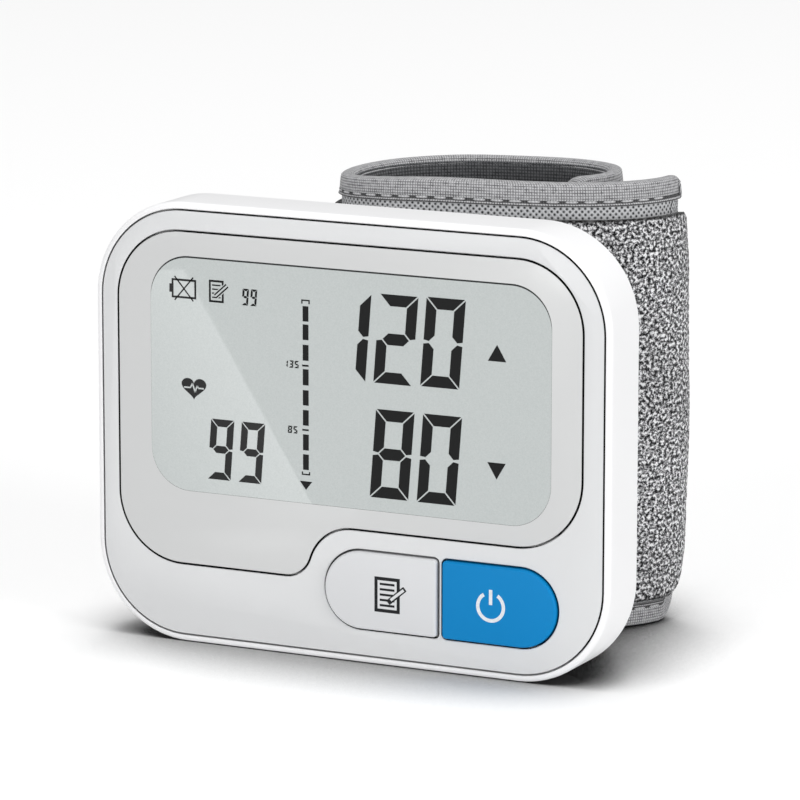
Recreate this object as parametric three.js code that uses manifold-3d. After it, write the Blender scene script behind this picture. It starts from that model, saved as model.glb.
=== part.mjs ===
import * as THREE from 'three';
import { mergeVertices } from 'three/addons/utils/BufferGeometryUtils.js';
import Module from 'manifold-3d';

// Wrist blood pressure monitor in millimetres, +Z up, with the display facing -Y.
// The case and the cuff behind it both stand on the plane Z = 0.

const wasm = await Module();
wasm.setup();

// Fits shared by every piece
const seatGap = 0.3;
const slideGap = 0.25;
const grooveWidth = 0.2;
const overrun = 1;

// Smoothness of round outlines, in steps
const arcSteps = 5;
const edgeSteps = 3;
const smallRoundSides = 16;
const pinSides = 12;
const roundSides = 28;
const plyRows = 4;
const bisections = 40;

// Case
const caseWidth = 86;
const caseHeight = 68;
const caseDepth = 24.6;
const caseCornerRadius = 15;
const caseEdgeRadius = 0.9;
const caseWall = 1.8;
const frontDepth = 9.7;
const rearStepWidth = 0.8;
const rearCornerRadius = 9;
const rearEdgeRadius = 1.4;
const rearSideMargin = 1.4;
const rearEndMargin = 2.95;

// Face panel, lens and the web behind them
const rimWidth = 1;
const panelThickness = 1.3;
const webThickness = 1.5;
const lensLeftMargin = 4.05;
const lensRightMargin = 4.7;
const lensTopMargin = 4.5;
const lensLowMargin = 12.35;
const lensHighMargin = 20.6;
const lensCornerRadius = 10.6;
const lensStepGap = 6.95;
const lensStepLowRadius = 4.3;
const lensStepHighRadius = 7.6;

// Display stack
const glassBossGap = 1.6;
const glassLowMargin = 2.3;
const glassTopMargin = 3.1;
const glassThickness = 2.2;
const reflectorMargin = 3;
const reflectorThickness = 0.4;
const holderBar = 4.5;
const zebraMargin = 0.7;
const zebraWidth = 2;

// Button pair: a pill split in two by a thin rib of the panel
const pillWidth = 38.2;
const pillHeight = 11.9;
const pillSideInset = 27.55;
const pillBaseInset = 11.35;
const pillRib = 0.45;
const buttonSplitRadius = 0.6;
const buttonProud = 0.6;
const buttonEdgeRadius = 0.4;
const buttonFlangeWidth = 0.8;
const buttonFlangeThickness = 0.8;
const buttonTravel = 0.6;
const stemRadius = 1.5;
const buttonPressShare = 0.52;

// Circuit board and what it carries
const boardDepth = 7.6;
const boardThickness = 1.6;
const boardMargin = 0.7;
const chipSize = 10;
const chipThickness = 1.2;
const chipX = -2;
const chipY = -5;
const buzzerRadius = 4.5;
const buzzerThickness = 4;
const buzzerX = 6;
const buzzerY = -18;
const switchSize = 6;
const switchHeight = 1.7;
const plungerRadius = 1.6;
const plungerHeight = 1.5;
const boardPostRadius = 2;
const boardPostSideInset = 19;
const boardPostBaseInset = 13;
const boardPostTopInset = 4.6;

// Screws
const screwPilotGap = 0.25;
const caseScrewSideInset = 4.6;
const caseScrewEndInset = 10;
const caseBossRadius = 2.6;
const caseWellWall = 0.9;
const caseScrewFloor = 1.4;
const caseScrew = { radius: 1.1, headRadius: 2, headHeight: 1.2, length: 6 };
const boardScrew = { radius: 0.8, headRadius: 1.5, headHeight: 0.6, length: 4 };
const saddleScrew = { radius: 1, headRadius: 2, headHeight: 1.3, length: 4.4 };
const saddleScrewX = 14.6;
const saddleScrewInset = 3.05;

// Batteries and their bay
const cellRadius = 5.25;
const cellLength = 44.5;
const cellNubRadius = 1.9;
const cellNubHeight = 0.9;
const cellSpacing = 0.4;
const bayRight = -10.4;
const bayWall = 1.2;
const bayFloorDepth = 10.4;
const plateThickness = 0.5;
const doorThickness = 1.9;
const doorMargin = 0.7;
const doorTongue = 1;
const doorTongueThickness = 0.8;
const doorRibCount = 4;
const doorRibSpacing = 1.6;
const doorRibWidth = 0.7;
const doorRibHeight = 0.4;
const doorRibLength = 14;
const doorRibInset = 5;

// Air pump, valve and air line
const motorRadius = 6.5;
const motorLength = 22;
const motorX = 23.5;
const motorBottom = -18;
const headHeight = 12;
const headWall = 1.6;
const camRadius = 2.6;
const camThickness = 3;
const camOffset = 0.8;
const shaftRadius = 0.8;
const shaftInMotor = 4;
const lineX = 8;
const lineY = 12;
const manifoldSize = 6.5;
const tubeRadius = 1.8;
const tubeBoreRadius = 0.8;
const valveWidth = 9;
const valveLength = 13;
const valveThickness = 10;
const valveTubeLength = 2.4;
const sensorSize = 7;
const sensorThickness = 3;
const nozzleRadius = 2;
const sealTubeRadius = 0.6;

// Cuff: a band of thin plies with bound edges, wrapped once round the wrist opening.
// It rises clear of its own start where it comes round to it again, and ends in a free tab.
const cuffHeight = 69.7;
const openingLength = 36.8;
const openingWidth = 21.2;
const openingSquareness = 2.2;
const cuffCentreX = 1.5;
const cuffCentreGap = 18.7;
const cuffTurn = THREE.MathUtils.degToRad(18);
const cuffSwell = 0.8;
const overlapLift = 10;
const plyThickness = 0.6;
const plyGap = 0.2;
const bladderThickness = 0.8;
const feltThickness = 1;
const bindingHeight = 4.2;
const bindingShares = [
  [0, 0], [1, 0], [1, 0.55], [0.85, 0.88], [0.62, 1], [0.38, 1], [0.15, 0.88], [0, 0.55],
];
const bladderMargin = 5;
const curlerMargin = 3;
const feltLow = 4.1;
const feltHigh = 64.2;
const tabCornerRadius = 4;
const tabHighCornerShare = 0.4;
const hookThickness = 0.6;
const hookGap = 0.2;
const hookMargin = 8;

// Saddle between the case and the cuff
const saddleWidth = 30;
const saddleEndMargin = 1.95;
const saddleCornerRadius = 8;
const saddleReach = 8;
const saddleX = 6;

// Angles round the cuff, from its right end through the back, left and front, and on
const wrapAngle = THREE.MathUtils.degToRad(7.5);
const bandStartAngle = -6 * wrapAngle;
const rampStartAngle = 33 * wrapAngle;
const tabRootAngle = 43 * wrapAngle;
const hookStartAngle = 43.5 * wrapAngle;
const hookEndAngle = 46 * wrapAngle;
const tabEndAngle = 46.7 * wrapAngle;
const rampEndAngle = 48 * wrapAngle;
const bladderStartAngle = 24 * wrapAngle;
const bladderEndAngle = 40 * wrapAngle;
const curlerStartAngle = 2 * wrapAngle;
const curlerEndAngle = 38 * wrapAngle;
const tabSteps = 8;

// Worked out from the sizes above
const cuffCentreY = caseDepth + cuffCentreGap;
const lensLeft = caseWidth / 2 - lensLeftMargin;
const lensRight = caseWidth / 2 - lensRightMargin;
const lensTop = caseHeight / 2 - lensTopMargin;
const lensLowBottom = caseHeight / 2 - lensLowMargin;
const lensHighBottom = caseHeight / 2 - lensHighMargin;
const pillCentreX = caseWidth / 2 - pillSideInset;
const pillCentreY = pillBaseInset - caseHeight / 2;
const lensStepX = pillCentreX - pillWidth / 2 - lensStepGap;
const caseScrewX = caseWidth / 2 - caseScrewSideInset;
const caseScrewY = caseHeight / 2 - caseScrewEndInset;
const boardPostLowX = boardPostSideInset - caseWidth / 2;
const boardPostLowY = boardPostBaseInset - caseHeight / 2;
const boardPostHighY = caseHeight / 2 - boardPostTopInset;
const glassWidth = 2 * (caseScrewX - caseBossRadius - glassBossGap);
const glassBottom = glassLowMargin - lensHighBottom;
const glassTop = lensTop - glassTopMargin;
const glassHeight = glassTop - glassBottom;
const glassCentreY = (glassBottom + glassTop) / 2;
const zebraLength = glassWidth - 2 * (holderBar + zebraMargin);
const webDepth = panelThickness + seatGap;
const webBackDepth = webDepth + webThickness;
const rearFrontDepth = frontDepth + seatGap;
const rearInnerDepth = caseDepth - caseWall;
const boardBackDepth = boardDepth + boardThickness;
const glassDepth = panelThickness + seatGap;
const glassBackDepth = glassDepth + glassThickness;
const motorDepth = rearInnerDepth - seatGap - motorRadius;
const sleeveThickness = 3 * plyThickness + bladderThickness + 3 * plyGap;
const bladderOffset = plyThickness + plyGap;
const curlerOffset = bladderOffset + bladderThickness + plyGap;
const coverOffset = curlerOffset + plyThickness + plyGap;
const feltOffset = sleeveThickness + plyGap;
const bandThickness = feltOffset + feltThickness;
const bayDepth = bayFloorDepth + bayWall;
const cellPitch = 2 * cellRadius + cellSpacing;
const bayLeft = bayRight - 2 * cellPitch - cellSpacing;
const bayHalfLength = cellLength / 2 + plateThickness + 2 * seatGap;
const doorDepth = caseDepth - doorThickness;
const doorRight = bayRight + doorMargin;
const doorHalfLength = bayHalfLength + doorMargin;
const saddleScrewY = doorHalfLength - saddleScrewInset;
const saddleHeight = 2 * (doorHalfLength + saddleEndMargin);
const rearSideTaper = caseWidth / 2 - rearStepWidth + bayLeft - rearSideMargin;
const rearEndTaper = caseHeight / 2 - rearStepWidth - doorHalfLength - rearEndMargin;

const whitePlastic = { color: 0xf4f5f6, roughness: 0.35, metalness: 0 };
const panelPlastic = { color: 0xd9dadb, roughness: 0.4, metalness: 0 };
const clearPlastic = { color: 0xe4e7e6, roughness: 0.08, metalness: 0 };
const displayGlass = { color: 0xc4cbc8, roughness: 0.15, metalness: 0 };
const bluePlastic = { color: 0x1888c8, roughness: 0.4, metalness: 0 };
const innerPlastic = { color: 0x3a3d40, roughness: 0.6, metalness: 0 };
const boardLaminate = { color: 0x1f6b3a, roughness: 0.5, metalness: 0 };
const plainSteel = { color: 0xb9bcc0, roughness: 0.3, metalness: 1 };
const softRubber = { color: 0x8f9294, roughness: 0.8, metalness: 0 };
const cellJacket = { color: 0x5a5f66, roughness: 0.35, metalness: 0.4 };
const felt = { color: 0x9a9c9e, roughness: 1, metalness: 0 };
const knit = { color: 0xa6a8aa, roughness: 1, metalness: 0 };
const liningCloth = { color: 0x55575a, roughness: 0.95, metalness: 0 };
const bindingTape = { color: 0x96989a, roughness: 0.9, metalness: 0 };

const part = new THREE.Group();
const housing = new THREE.Group();
housing.rotation.x = Math.PI / 2;
housing.position.z = caseHeight / 2;
const cuff = new THREE.Group();
part.add(housing, cuff);

function addPiece(group, name, geometry, finish) {
  const piece = new THREE.Mesh(geometry, new THREE.MeshStandardMaterial(finish));
  piece.name = name;
  group.add(piece);
  return piece;
}

// Solids for joining and cutting

function toSolid(geometry) {
  const bare = geometry.clone();
  bare.deleteAttribute('normal');
  bare.deleteAttribute('uv');
  const merged = mergeVertices(bare);
  const vertProperties = new Float32Array(merged.attributes.position.array);
  const triVerts = new Uint32Array(merged.index.array);
  return new wasm.Manifold(new wasm.Mesh({ numProp: 3, vertProperties, triVerts }));
}

function toGeometry(solid) {
  const mesh = solid.getMesh();
  const geometry = new THREE.BufferGeometry();
  geometry.setAttribute('position', new THREE.BufferAttribute(mesh.vertProperties, 3));
  geometry.setIndex(new THREE.BufferAttribute(mesh.triVerts, 1));
  geometry.computeVertexNormals();
  return geometry;
}

function cut(body, cutters) {
  return cutters.reduce((rest, cutter) => rest.subtract(toSolid(cutter)), body);
}

function box(left, right, bottom, top, back, front) {
  const geometry = new THREE.BoxGeometry(right - left, top - bottom, front - back);
  return geometry.translate((left + right) / 2, (bottom + top) / 2, (back + front) / 2);
}

// A round bar along the depth of the case
function bar(radius, x, y, back, front, sides = smallRoundSides) {
  const geometry = new THREE.CylinderGeometry(radius, radius, front - back, sides);
  return geometry.rotateX(Math.PI / 2).translate(x, y, (back + front) / 2);
}

// A closed solid through outlines of equal point count, from the lowest level up
function stack(levels) {
  const count = levels[0].outline.length;
  const positions = levels.flatMap(({ outline, z }) => outline.flatMap((point) => [point.x, point.y, z]));
  const indices = [];
  for (let level = 0; level + 1 < levels.length; level += 1) {
    for (let i = 0; i < count; i += 1) {
      const a = level * count + i;
      const b = level * count + (i + 1) % count;
      indices.push(a, b, b + count, a, b + count, a + count);
    }
  }
  const last = (levels.length - 1) * count;
  for (const [a, b, c] of THREE.ShapeUtils.triangulateShape(levels[0].outline, [])) {
    indices.push(c, b, a);
  }
  for (const [a, b, c] of THREE.ShapeUtils.triangulateShape(levels.at(-1).outline, [])) {
    indices.push(last + a, last + b, last + c);
  }
  const geometry = new THREE.BufferGeometry();
  geometry.setAttribute('position', new THREE.Float32BufferAttribute(positions, 3));
  geometry.setIndex(indices);
  geometry.computeVertexNormals();
  return geometry;
}

function slab(outline, back, front) {
  return stack([{ outline, z: back }, { outline, z: front }]);
}

function roundedOutline(width, height, radius, x = 0, y = 0) {
  const sideX = width / 2 - radius;
  const sideY = height / 2 - radius;
  const outline = new THREE.Shape();
  outline.absarc(x + sideX, y - sideY, radius, -Math.PI / 2, 0);
  outline.absarc(x + sideX, y + sideY, radius, 0, Math.PI / 2);
  outline.absarc(x - sideX, y + sideY, radius, Math.PI / 2, Math.PI);
  outline.absarc(x - sideX, y - sideY, radius, Math.PI, 1.5 * Math.PI);
  return outline.getPoints(arcSteps);
}

function caseOutline(inset) {
  return roundedOutline(caseWidth - 2 * inset, caseHeight - 2 * inset, caseCornerRadius - inset);
}

// The lens outline, grown outwards; its S step is two arcs that meet tangentially
function lensOutline(grow) {
  const left = -lensLeft - grow;
  const right = lensRight + grow;
  const top = lensTop + grow;
  const low = -lensLowBottom - grow;
  const high = -lensHighBottom - grow;
  const radius = lensCornerRadius + grow;
  const lowRadius = lensStepLowRadius + grow;
  const highRadius = lensStepHighRadius - grow;
  const drop = high - highRadius - low - lowRadius;
  const run = Math.sqrt((lowRadius + highRadius) ** 2 - drop ** 2);
  const slope = Math.atan2(drop, run);
  const outline = new THREE.Shape();
  outline.absarc(lensStepX, low + lowRadius, lowRadius, -Math.PI / 2, slope);
  outline.absarc(lensStepX + run, high - highRadius, highRadius, Math.PI + slope, Math.PI / 2, true);
  outline.absarc(right - radius, high + radius, radius, -Math.PI / 2, 0);
  outline.absarc(right - radius, top - radius, radius, 0, Math.PI / 2);
  outline.absarc(left + radius, top - radius, radius, Math.PI / 2, Math.PI);
  outline.absarc(left + radius, low + radius, radius, Math.PI, 1.5 * Math.PI);
  return outline.getPoints(arcSteps);
}

// Half of the pill, on the right for side 1 and on the left for side -1
function buttonOutline(side, grow, ribGrow) {
  const radius = pillHeight / 2 + grow;
  const inner = pillRib / 2 + slideGap - ribGrow;
  const round = pillWidth / 2 - pillHeight / 2;
  const small = buttonSplitRadius + ribGrow;
  const outline = new THREE.Shape();
  outline.absarc(inner + small, small - radius, small, Math.PI, 1.5 * Math.PI);
  outline.absarc(round, 0, radius, -Math.PI / 2, Math.PI / 2);
  outline.absarc(inner + small, radius - small, small, Math.PI / 2, Math.PI);
  const points = outline.getPoints(arcSteps);
  for (const point of points) {
    point.set(pillCentreX + side * point.x, pillCentreY + point.y);
  }
  return side > 0 ? points : points.reverse();
}

// Front cover with its rim, its web and its bosses

function makeFrontCover() {
  const levels = [{ outline: caseOutline(0), z: -frontDepth }];
  for (let step = 0; step <= edgeSteps; step += 1) {
    const angle = (step / edgeSteps) * (Math.PI / 2);
    const inset = caseEdgeRadius * (1 - Math.cos(angle));
    levels.push({ outline: caseOutline(inset), z: caseEdgeRadius * (Math.sin(angle) - 1) });
  }
  const shell = cut(toSolid(stack(levels)), [
    slab(caseOutline(rimWidth), -webDepth, overrun),
    slab(caseOutline(caseWall), -frontDepth - overrun, -webBackDepth),
    box(
      -glassWidth / 2 - seatGap, glassWidth / 2 + seatGap,
      glassCentreY - glassHeight / 2 - seatGap, glassCentreY + glassHeight / 2 + seatGap,
      -webBackDepth - overrun, overrun,
    ),
    slab(buttonOutline(1, slideGap, slideGap), -webBackDepth - overrun, overrun),
    slab(buttonOutline(-1, slideGap, slideGap), -webBackDepth - overrun, overrun),
  ]);
  let cover = shell;
  const sink = webThickness / 2;
  for (const [x, y] of caseScrewPlaces()) {
    const boss = bar(caseBossRadius, x, y, -frontDepth, -webBackDepth + sink);
    cover = cover.add(toSolid(boss));
  }
  for (const [x, y] of boardScrewPlaces()) {
    const post = bar(boardPostRadius, x, y, -boardDepth + seatGap, -webBackDepth + sink);
    cover = cover.add(toSolid(post));
  }
  const holes = [];
  for (const [x, y] of caseScrewPlaces()) {
    const radius = caseScrew.radius + screwPilotGap;
    holes.push(bar(radius, x, y, -frontDepth - overrun, -webBackDepth - seatGap, pinSides));
  }
  for (const [x, y] of boardScrewPlaces()) {
    const radius = boardScrew.radius + screwPilotGap;
    holes.push(bar(radius, x, y, -boardDepth - overrun, -webBackDepth - seatGap, pinSides));
  }
  return toGeometry(cut(cover, holes));
}

function caseScrewPlaces() {
  return [
    [caseScrewX, caseScrewY],
    [-caseScrewX, caseScrewY],
    [-caseScrewX, -caseScrewY],
    [caseScrewX, -caseScrewY],
  ];
}

function boardScrewPlaces() {
  return [
    [boardPostLowX, boardPostLowY],
    [0, boardPostHighY],
  ];
}

function saddleScrewPlaces() {
  return [
    [saddleScrewX, saddleScrewY],
    [saddleScrewX, -saddleScrewY],
  ];
}

function makeFacePanel() {
  const plate = toSolid(slab(caseOutline(rimWidth + grooveWidth), -panelThickness, 0));
  return toGeometry(cut(plate, [
    slab(lensOutline(grooveWidth), -panelThickness - overrun, overrun),
    slab(buttonOutline(1, slideGap, slideGap), -panelThickness - overrun, overrun),
    slab(buttonOutline(-1, slideGap, slideGap), -panelThickness - overrun, overrun),
  ]));
}

// Rear cover: a tapered shell with the battery bay, screw wells and a hole for the air nozzle

function rearOutline(depth, inset) {
  const taperDepth = caseDepth - rearEdgeRadius - rearFrontDepth;
  const share = Math.min((depth - rearFrontDepth) / taperDepth, 1);
  const side = rearStepWidth + share * rearSideTaper + inset;
  const end = rearStepWidth + share * rearEndTaper + inset;
  const startRadius = caseCornerRadius - rearStepWidth;
  const radius = startRadius + share * (rearCornerRadius - startRadius) - inset;
  return roundedOutline(caseWidth - 2 * side, caseHeight - 2 * end, radius);
}

function rearHull() {
  const levels = [{ outline: rearOutline(rearFrontDepth, 0), z: -rearFrontDepth }];
  for (let step = 0; step <= edgeSteps; step += 1) {
    const angle = (step / edgeSteps) * (Math.PI / 2);
    const inset = rearEdgeRadius * (1 - Math.cos(angle));
    const depth = caseDepth - rearEdgeRadius * (1 - Math.sin(angle));
    levels.push({ outline: rearOutline(depth, inset), z: -depth });
  }
  return toSolid(stack(levels.reverse()));
}

function makeRearCover() {
  const hull = rearHull();
  const hollow = stack([
    { outline: rearOutline(rearInnerDepth, caseWall), z: -rearInnerDepth },
    { outline: rearOutline(rearFrontDepth, caseWall), z: -rearFrontDepth },
    { outline: rearOutline(rearFrontDepth, caseWall), z: -rearFrontDepth + overrun },
  ]);
  const bayBlock = box(
    bayLeft - bayWall, bayRight + bayWall,
    -bayHalfLength - bayWall, bayHalfLength + bayWall,
    -rearInnerDepth - caseWall / 2, -bayFloorDepth,
  );
  let cover = cut(hull, [hollow]).add(toSolid(bayBlock).intersect(hull));
  for (const [x, y] of caseScrewPlaces()) {
    const radius = caseScrew.headRadius + seatGap + caseWellWall;
    const post = toSolid(bar(radius, x, y, -caseDepth, -rearFrontDepth));
    cover = cover.add(post.intersect(hull));
  }
  const cutters = [
    box(
      bayLeft, bayRight, -bayHalfLength, bayHalfLength,
      -caseDepth - overrun, -bayDepth,
    ),
    doorSpace(),
    doorGroove(),
    bar(nozzleRadius + seatGap, lineX, lineY, -caseDepth - overrun, -rearFrontDepth),
  ];
  for (const [x, y] of caseScrewPlaces()) {
    const wellDepth = rearFrontDepth + caseScrewFloor;
    cutters.push(bar(caseScrew.headRadius + seatGap, x, y, -caseDepth - overrun, -wellDepth));
    cutters.push(bar(caseScrew.radius + screwPilotGap, x, y, -caseDepth, -frontDepth + overrun, pinSides));
  }
  for (const [x, y] of saddleScrewPlaces()) {
    const radius = saddleScrew.radius + screwPilotGap;
    cutters.push(bar(radius, x, y, -caseDepth - overrun, -rearFrontDepth, pinSides));
  }
  return toGeometry(cut(cover, cutters));
}

// The battery door is the left part of the back wall, with a tongue along each long edge

function doorBody(grow, back, front) {
  const half = doorHalfLength + grow;
  return box(-caseWidth, doorRight + grow, -half, half, back, front);
}

function doorSpace() {
  return doorBody(seatGap, -caseDepth - overrun, -doorDepth + seatGap);
}

function doorGroove() {
  const back = -doorDepth - doorTongueThickness - seatGap;
  return doorBody(seatGap + doorTongue, back, -doorDepth + seatGap).translate(-doorTongue, 0, 0);
}

function makeBatteryDoor() {
  const plate = toSolid(doorBody(0, -caseDepth, -doorDepth));
  const tongue = doorBody(doorTongue, -doorDepth - doorTongueThickness, -doorDepth);
  tongue.translate(-doorTongue, 0, 0);
  let door = plate.add(toSolid(tongue)).intersect(rearHull());
  for (let rib = 0; rib < doorRibCount; rib += 1) {
    const x = bayLeft + doorRibInset + rib * doorRibSpacing;
    const ridge = box(
      x, x + doorRibWidth, -doorRibLength / 2, doorRibLength / 2,
      -caseDepth - doorRibHeight, -doorDepth,
    );
    door = door.add(toSolid(ridge));
  }
  return toGeometry(door);
}

// Display stack

function makeLcdGlass() {
  return box(
    -glassWidth / 2, glassWidth / 2,
    glassCentreY - glassHeight / 2, glassCentreY + glassHeight / 2,
    -glassBackDepth, -glassDepth,
  );
}

function makeLcdReflector() {
  const halfWidth = glassWidth / 2 - holderBar - reflectorMargin;
  const halfHeight = glassHeight / 2 - holderBar - reflectorMargin;
  const front = -glassBackDepth - seatGap;
  return box(
    -halfWidth, halfWidth, glassCentreY - halfHeight, glassCentreY + halfHeight,
    front - reflectorThickness, front,
  );
}

function makeLcdHolder() {
  const back = -boardDepth + seatGap;
  const front = -glassBackDepth - seatGap;
  const bottom = glassCentreY - glassHeight / 2;
  const top = glassCentreY + glassHeight / 2;
  const frame = toSolid(box(-glassWidth / 2, glassWidth / 2, bottom, top, back, front));
  const opening = box(
    -glassWidth / 2 + holderBar, glassWidth / 2 - holderBar,
    bottom + holderBar, top - holderBar,
    back - overrun, front + overrun,
  );
  return toGeometry(cut(frame, [opening]));
}

function makeZebraStrip() {
  const bottom = glassCentreY - glassHeight / 2 + holderBar + seatGap;
  return box(
    -zebraLength / 2, zebraLength / 2, bottom, bottom + zebraWidth,
    -boardDepth + seatGap, -glassBackDepth - seatGap,
  );
}

// Buttons and the switches that they press

function buttonPressX(side) {
  return pillCentreX + (side * buttonPressShare * pillWidth) / 2;
}

function makeButton(side) {
  const flangeFront = -webBackDepth - seatGap;
  const flangeBack = flangeFront - buttonFlangeThickness;
  const levels = [{ outline: buttonOutline(side, 0, 0), z: flangeBack }];
  for (let step = 0; step <= edgeSteps; step += 1) {
    const angle = (step / edgeSteps) * (Math.PI / 2);
    const inset = buttonEdgeRadius * (1 - Math.cos(angle));
    const z = buttonProud - buttonEdgeRadius * (1 - Math.sin(angle));
    levels.push({ outline: buttonOutline(side, -inset, -inset), z });
  }
  const cap = toSolid(stack(levels));
  const flange = toSolid(slab(buttonOutline(side, buttonFlangeWidth, 0), flangeBack, flangeFront));
  const stemBack = -boardDepth + seatGap + switchHeight + plungerTop() + seatGap;
  const stem = toSolid(bar(stemRadius, buttonPressX(side), pillCentreY, stemBack, flangeFront));
  return toGeometry(cap.add(flange).add(stem));
}

// How far the switch plunger stands out of its base
function plungerTop() {
  return buttonTravel + seatGap;
}

function makeSwitchBase(side) {
  const x = buttonPressX(side);
  const back = -boardDepth + seatGap;
  const front = back + switchHeight;
  const half = switchSize / 2;
  const base = toSolid(box(x - half, x + half, pillCentreY - half, pillCentreY + half, back, front));
  const well = bar(plungerRadius + slideGap, x, pillCentreY, front - wellDepth(), front + overrun);
  return toGeometry(cut(base, [well]));
}

function wellDepth() {
  return plungerHeight - plungerTop() + buttonTravel + seatGap;
}

function makeSwitchPlunger(side) {
  const front = -boardDepth + seatGap + switchHeight + plungerTop();
  return bar(plungerRadius, buttonPressX(side), pillCentreY, front - plungerHeight, front);
}

// Circuit board

function makeCircuitBoard() {
  const inset = caseWall + boardMargin;
  const board = toSolid(slab(caseOutline(inset), -boardBackDepth, -boardDepth));
  const cutters = [];
  for (const [x, y] of caseScrewPlaces()) {
    cutters.push(bar(caseBossRadius + seatGap, x, y, -boardBackDepth - overrun, -boardDepth + overrun));
  }
  for (const [x, y] of boardScrewPlaces()) {
    const radius = boardScrew.radius + screwPilotGap;
    cutters.push(bar(radius, x, y, -boardBackDepth - overrun, -boardDepth + overrun, pinSides));
  }
  return toGeometry(cut(board, cutters));
}

function makeControlChip() {
  const front = -boardBackDepth - seatGap;
  const half = chipSize / 2;
  return box(chipX - half, chipX + half, chipY - half, chipY + half, front - chipThickness, front);
}

function makeBuzzer() {
  const front = -boardBackDepth - seatGap;
  return bar(buzzerRadius, buzzerX, buzzerY, front - buzzerThickness, front);
}

function makePressureSensor() {
  const front = -boardBackDepth - seatGap;
  const half = sensorSize / 2;
  const body = box(lineX - half, lineX + half, lineY - half, lineY + half, front - sensorThickness, front);
  const portBack = -motorDepth + manifoldSize / 2 + seatGap;
  const port = bar(tubeBoreRadius, lineX, lineY, portBack, front - sensorThickness / 2, pinSides);
  return toGeometry(toSolid(body).add(toSolid(port)));
}

// A screw that points along the case's depth, forwards for way 1 and backwards for way -1
function makeScrew({ radius, headRadius, headHeight, length }, [x, y], headDepth, way) {
  const profile = [
    new THREE.Vector2(0, -length),
    new THREE.Vector2(radius / 2, -length),
    new THREE.Vector2(radius, -length + radius),
    new THREE.Vector2(radius, 0),
    new THREE.Vector2(headRadius, 0),
    new THREE.Vector2(headRadius, headHeight / 2),
    new THREE.Vector2(headRadius / 2, headHeight),
    new THREE.Vector2(0, headHeight),
  ];
  const screw = new THREE.LatheGeometry(profile, pinSides);
  return screw.rotateX((-way * Math.PI) / 2).translate(x, y, -headDepth);
}

// Batteries and contact plates

function cellX(index) {
  return bayRight - cellSpacing - cellRadius - index * cellPitch;
}

function cellDepth() {
  return bayDepth + seatGap + cellRadius;
}

// The first cell's nub points up, the second's down
function makeCell(index) {
  const can = cellLength - cellNubHeight;
  const profile = [
    new THREE.Vector2(0, -cellLength / 2),
    new THREE.Vector2(cellRadius, -cellLength / 2),
    new THREE.Vector2(cellRadius, can - cellLength / 2),
    new THREE.Vector2(cellNubRadius, can - cellLength / 2),
    new THREE.Vector2(cellNubRadius, cellLength / 2),
    new THREE.Vector2(0, cellLength / 2),
  ];
  const cell = new THREE.LatheGeometry(profile, roundSides);
  return cell.rotateZ(index * Math.PI).translate(cellX(index), 0, -cellDepth());
}

function makeContactPlate(leftCell, rightCell, end) {
  const half = cellRadius - cellSpacing;
  const left = cellX(leftCell) - half;
  const right = cellX(rightCell) + half;
  const near = cellLength / 2 + seatGap;
  const far = near + plateThickness;
  return box(
    left, right, end > 0 ? near : -far, end > 0 ? far : -near,
    -cellDepth() - half, -cellDepth() + half,
  );
}

// Air pump: motor, head with a crank space, and the eccentric on the motor shaft

function upright(radius, x, depth, bottom, top, sides) {
  const geometry = new THREE.CylinderGeometry(radius, radius, top - bottom, sides);
  return geometry.translate(x, (bottom + top) / 2, -depth);
}

function makePumpMotor() {
  const top = motorBottom + motorLength;
  const can = toSolid(upright(motorRadius, motorX, motorDepth, motorBottom, top, roundSides));
  const bore = upright(
    shaftRadius + slideGap, motorX, motorDepth,
    top - shaftInMotor - seatGap, top + overrun, pinSides,
  );
  return toGeometry(cut(can, [bore]));
}

function makePumpHead() {
  const bottom = motorBottom + motorLength + seatGap;
  const top = bottom + headHeight;
  const body = toSolid(box(
    motorX - motorRadius, motorX + motorRadius, bottom, top,
    -motorDepth - motorRadius, -motorDepth + motorRadius,
  ));
  const crankSpace = upright(
    motorRadius - headWall, motorX, motorDepth,
    bottom - overrun, top - headWall, smallRoundSides,
  );
  return toGeometry(cut(body, [crankSpace]));
}

function makePumpEccentric() {
  const motorTop = motorBottom + motorLength;
  const camBottom = motorTop + 2 * seatGap;
  const camTop = camBottom + camThickness;
  const shaft = toSolid(upright(
    shaftRadius, motorX, motorDepth,
    motorTop - shaftInMotor, camTop, pinSides,
  ));
  const cam = toSolid(upright(
    camRadius, motorX + camOffset, motorDepth, camBottom, camTop, smallRoundSides,
  ));
  return toGeometry(shaft.add(cam));
}

// Air line: the manifold joins pump, valve, sensor and cuff nozzle

function makeAirManifold() {
  const half = manifoldSize / 2;
  const block = toSolid(box(
    lineX - half, lineX + half, lineY - half, lineY + half,
    -motorDepth - half, -motorDepth + half,
  ));
  const deep = bar(tubeBoreRadius, lineX, lineY, -motorDepth - half - overrun, -motorDepth + half + overrun);
  const across = new THREE.CylinderGeometry(tubeBoreRadius, tubeBoreRadius, half + overrun, pinSides);
  across.rotateZ(Math.PI / 2).translate(lineX + (half + overrun) / 2, lineY, -motorDepth);
  const down = upright(tubeBoreRadius, lineX, motorDepth, lineY - half - overrun, lineY, pinSides);
  return toGeometry(cut(block, [deep, across, down]));
}

function tubeAlong(length) {
  const profile = [
    new THREE.Vector2(tubeBoreRadius, -length / 2),
    new THREE.Vector2(tubeRadius, -length / 2),
    new THREE.Vector2(tubeRadius, length / 2),
    new THREE.Vector2(tubeBoreRadius, length / 2),
    new THREE.Vector2(tubeBoreRadius, -length / 2),
  ];
  return new THREE.LatheGeometry(profile, pinSides);
}

function makePumpTube() {
  const left = lineX + manifoldSize / 2 + seatGap;
  const right = motorX - motorRadius - seatGap;
  return tubeAlong(right - left).rotateZ(Math.PI / 2).translate((left + right) / 2, lineY, -motorDepth);
}

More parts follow.
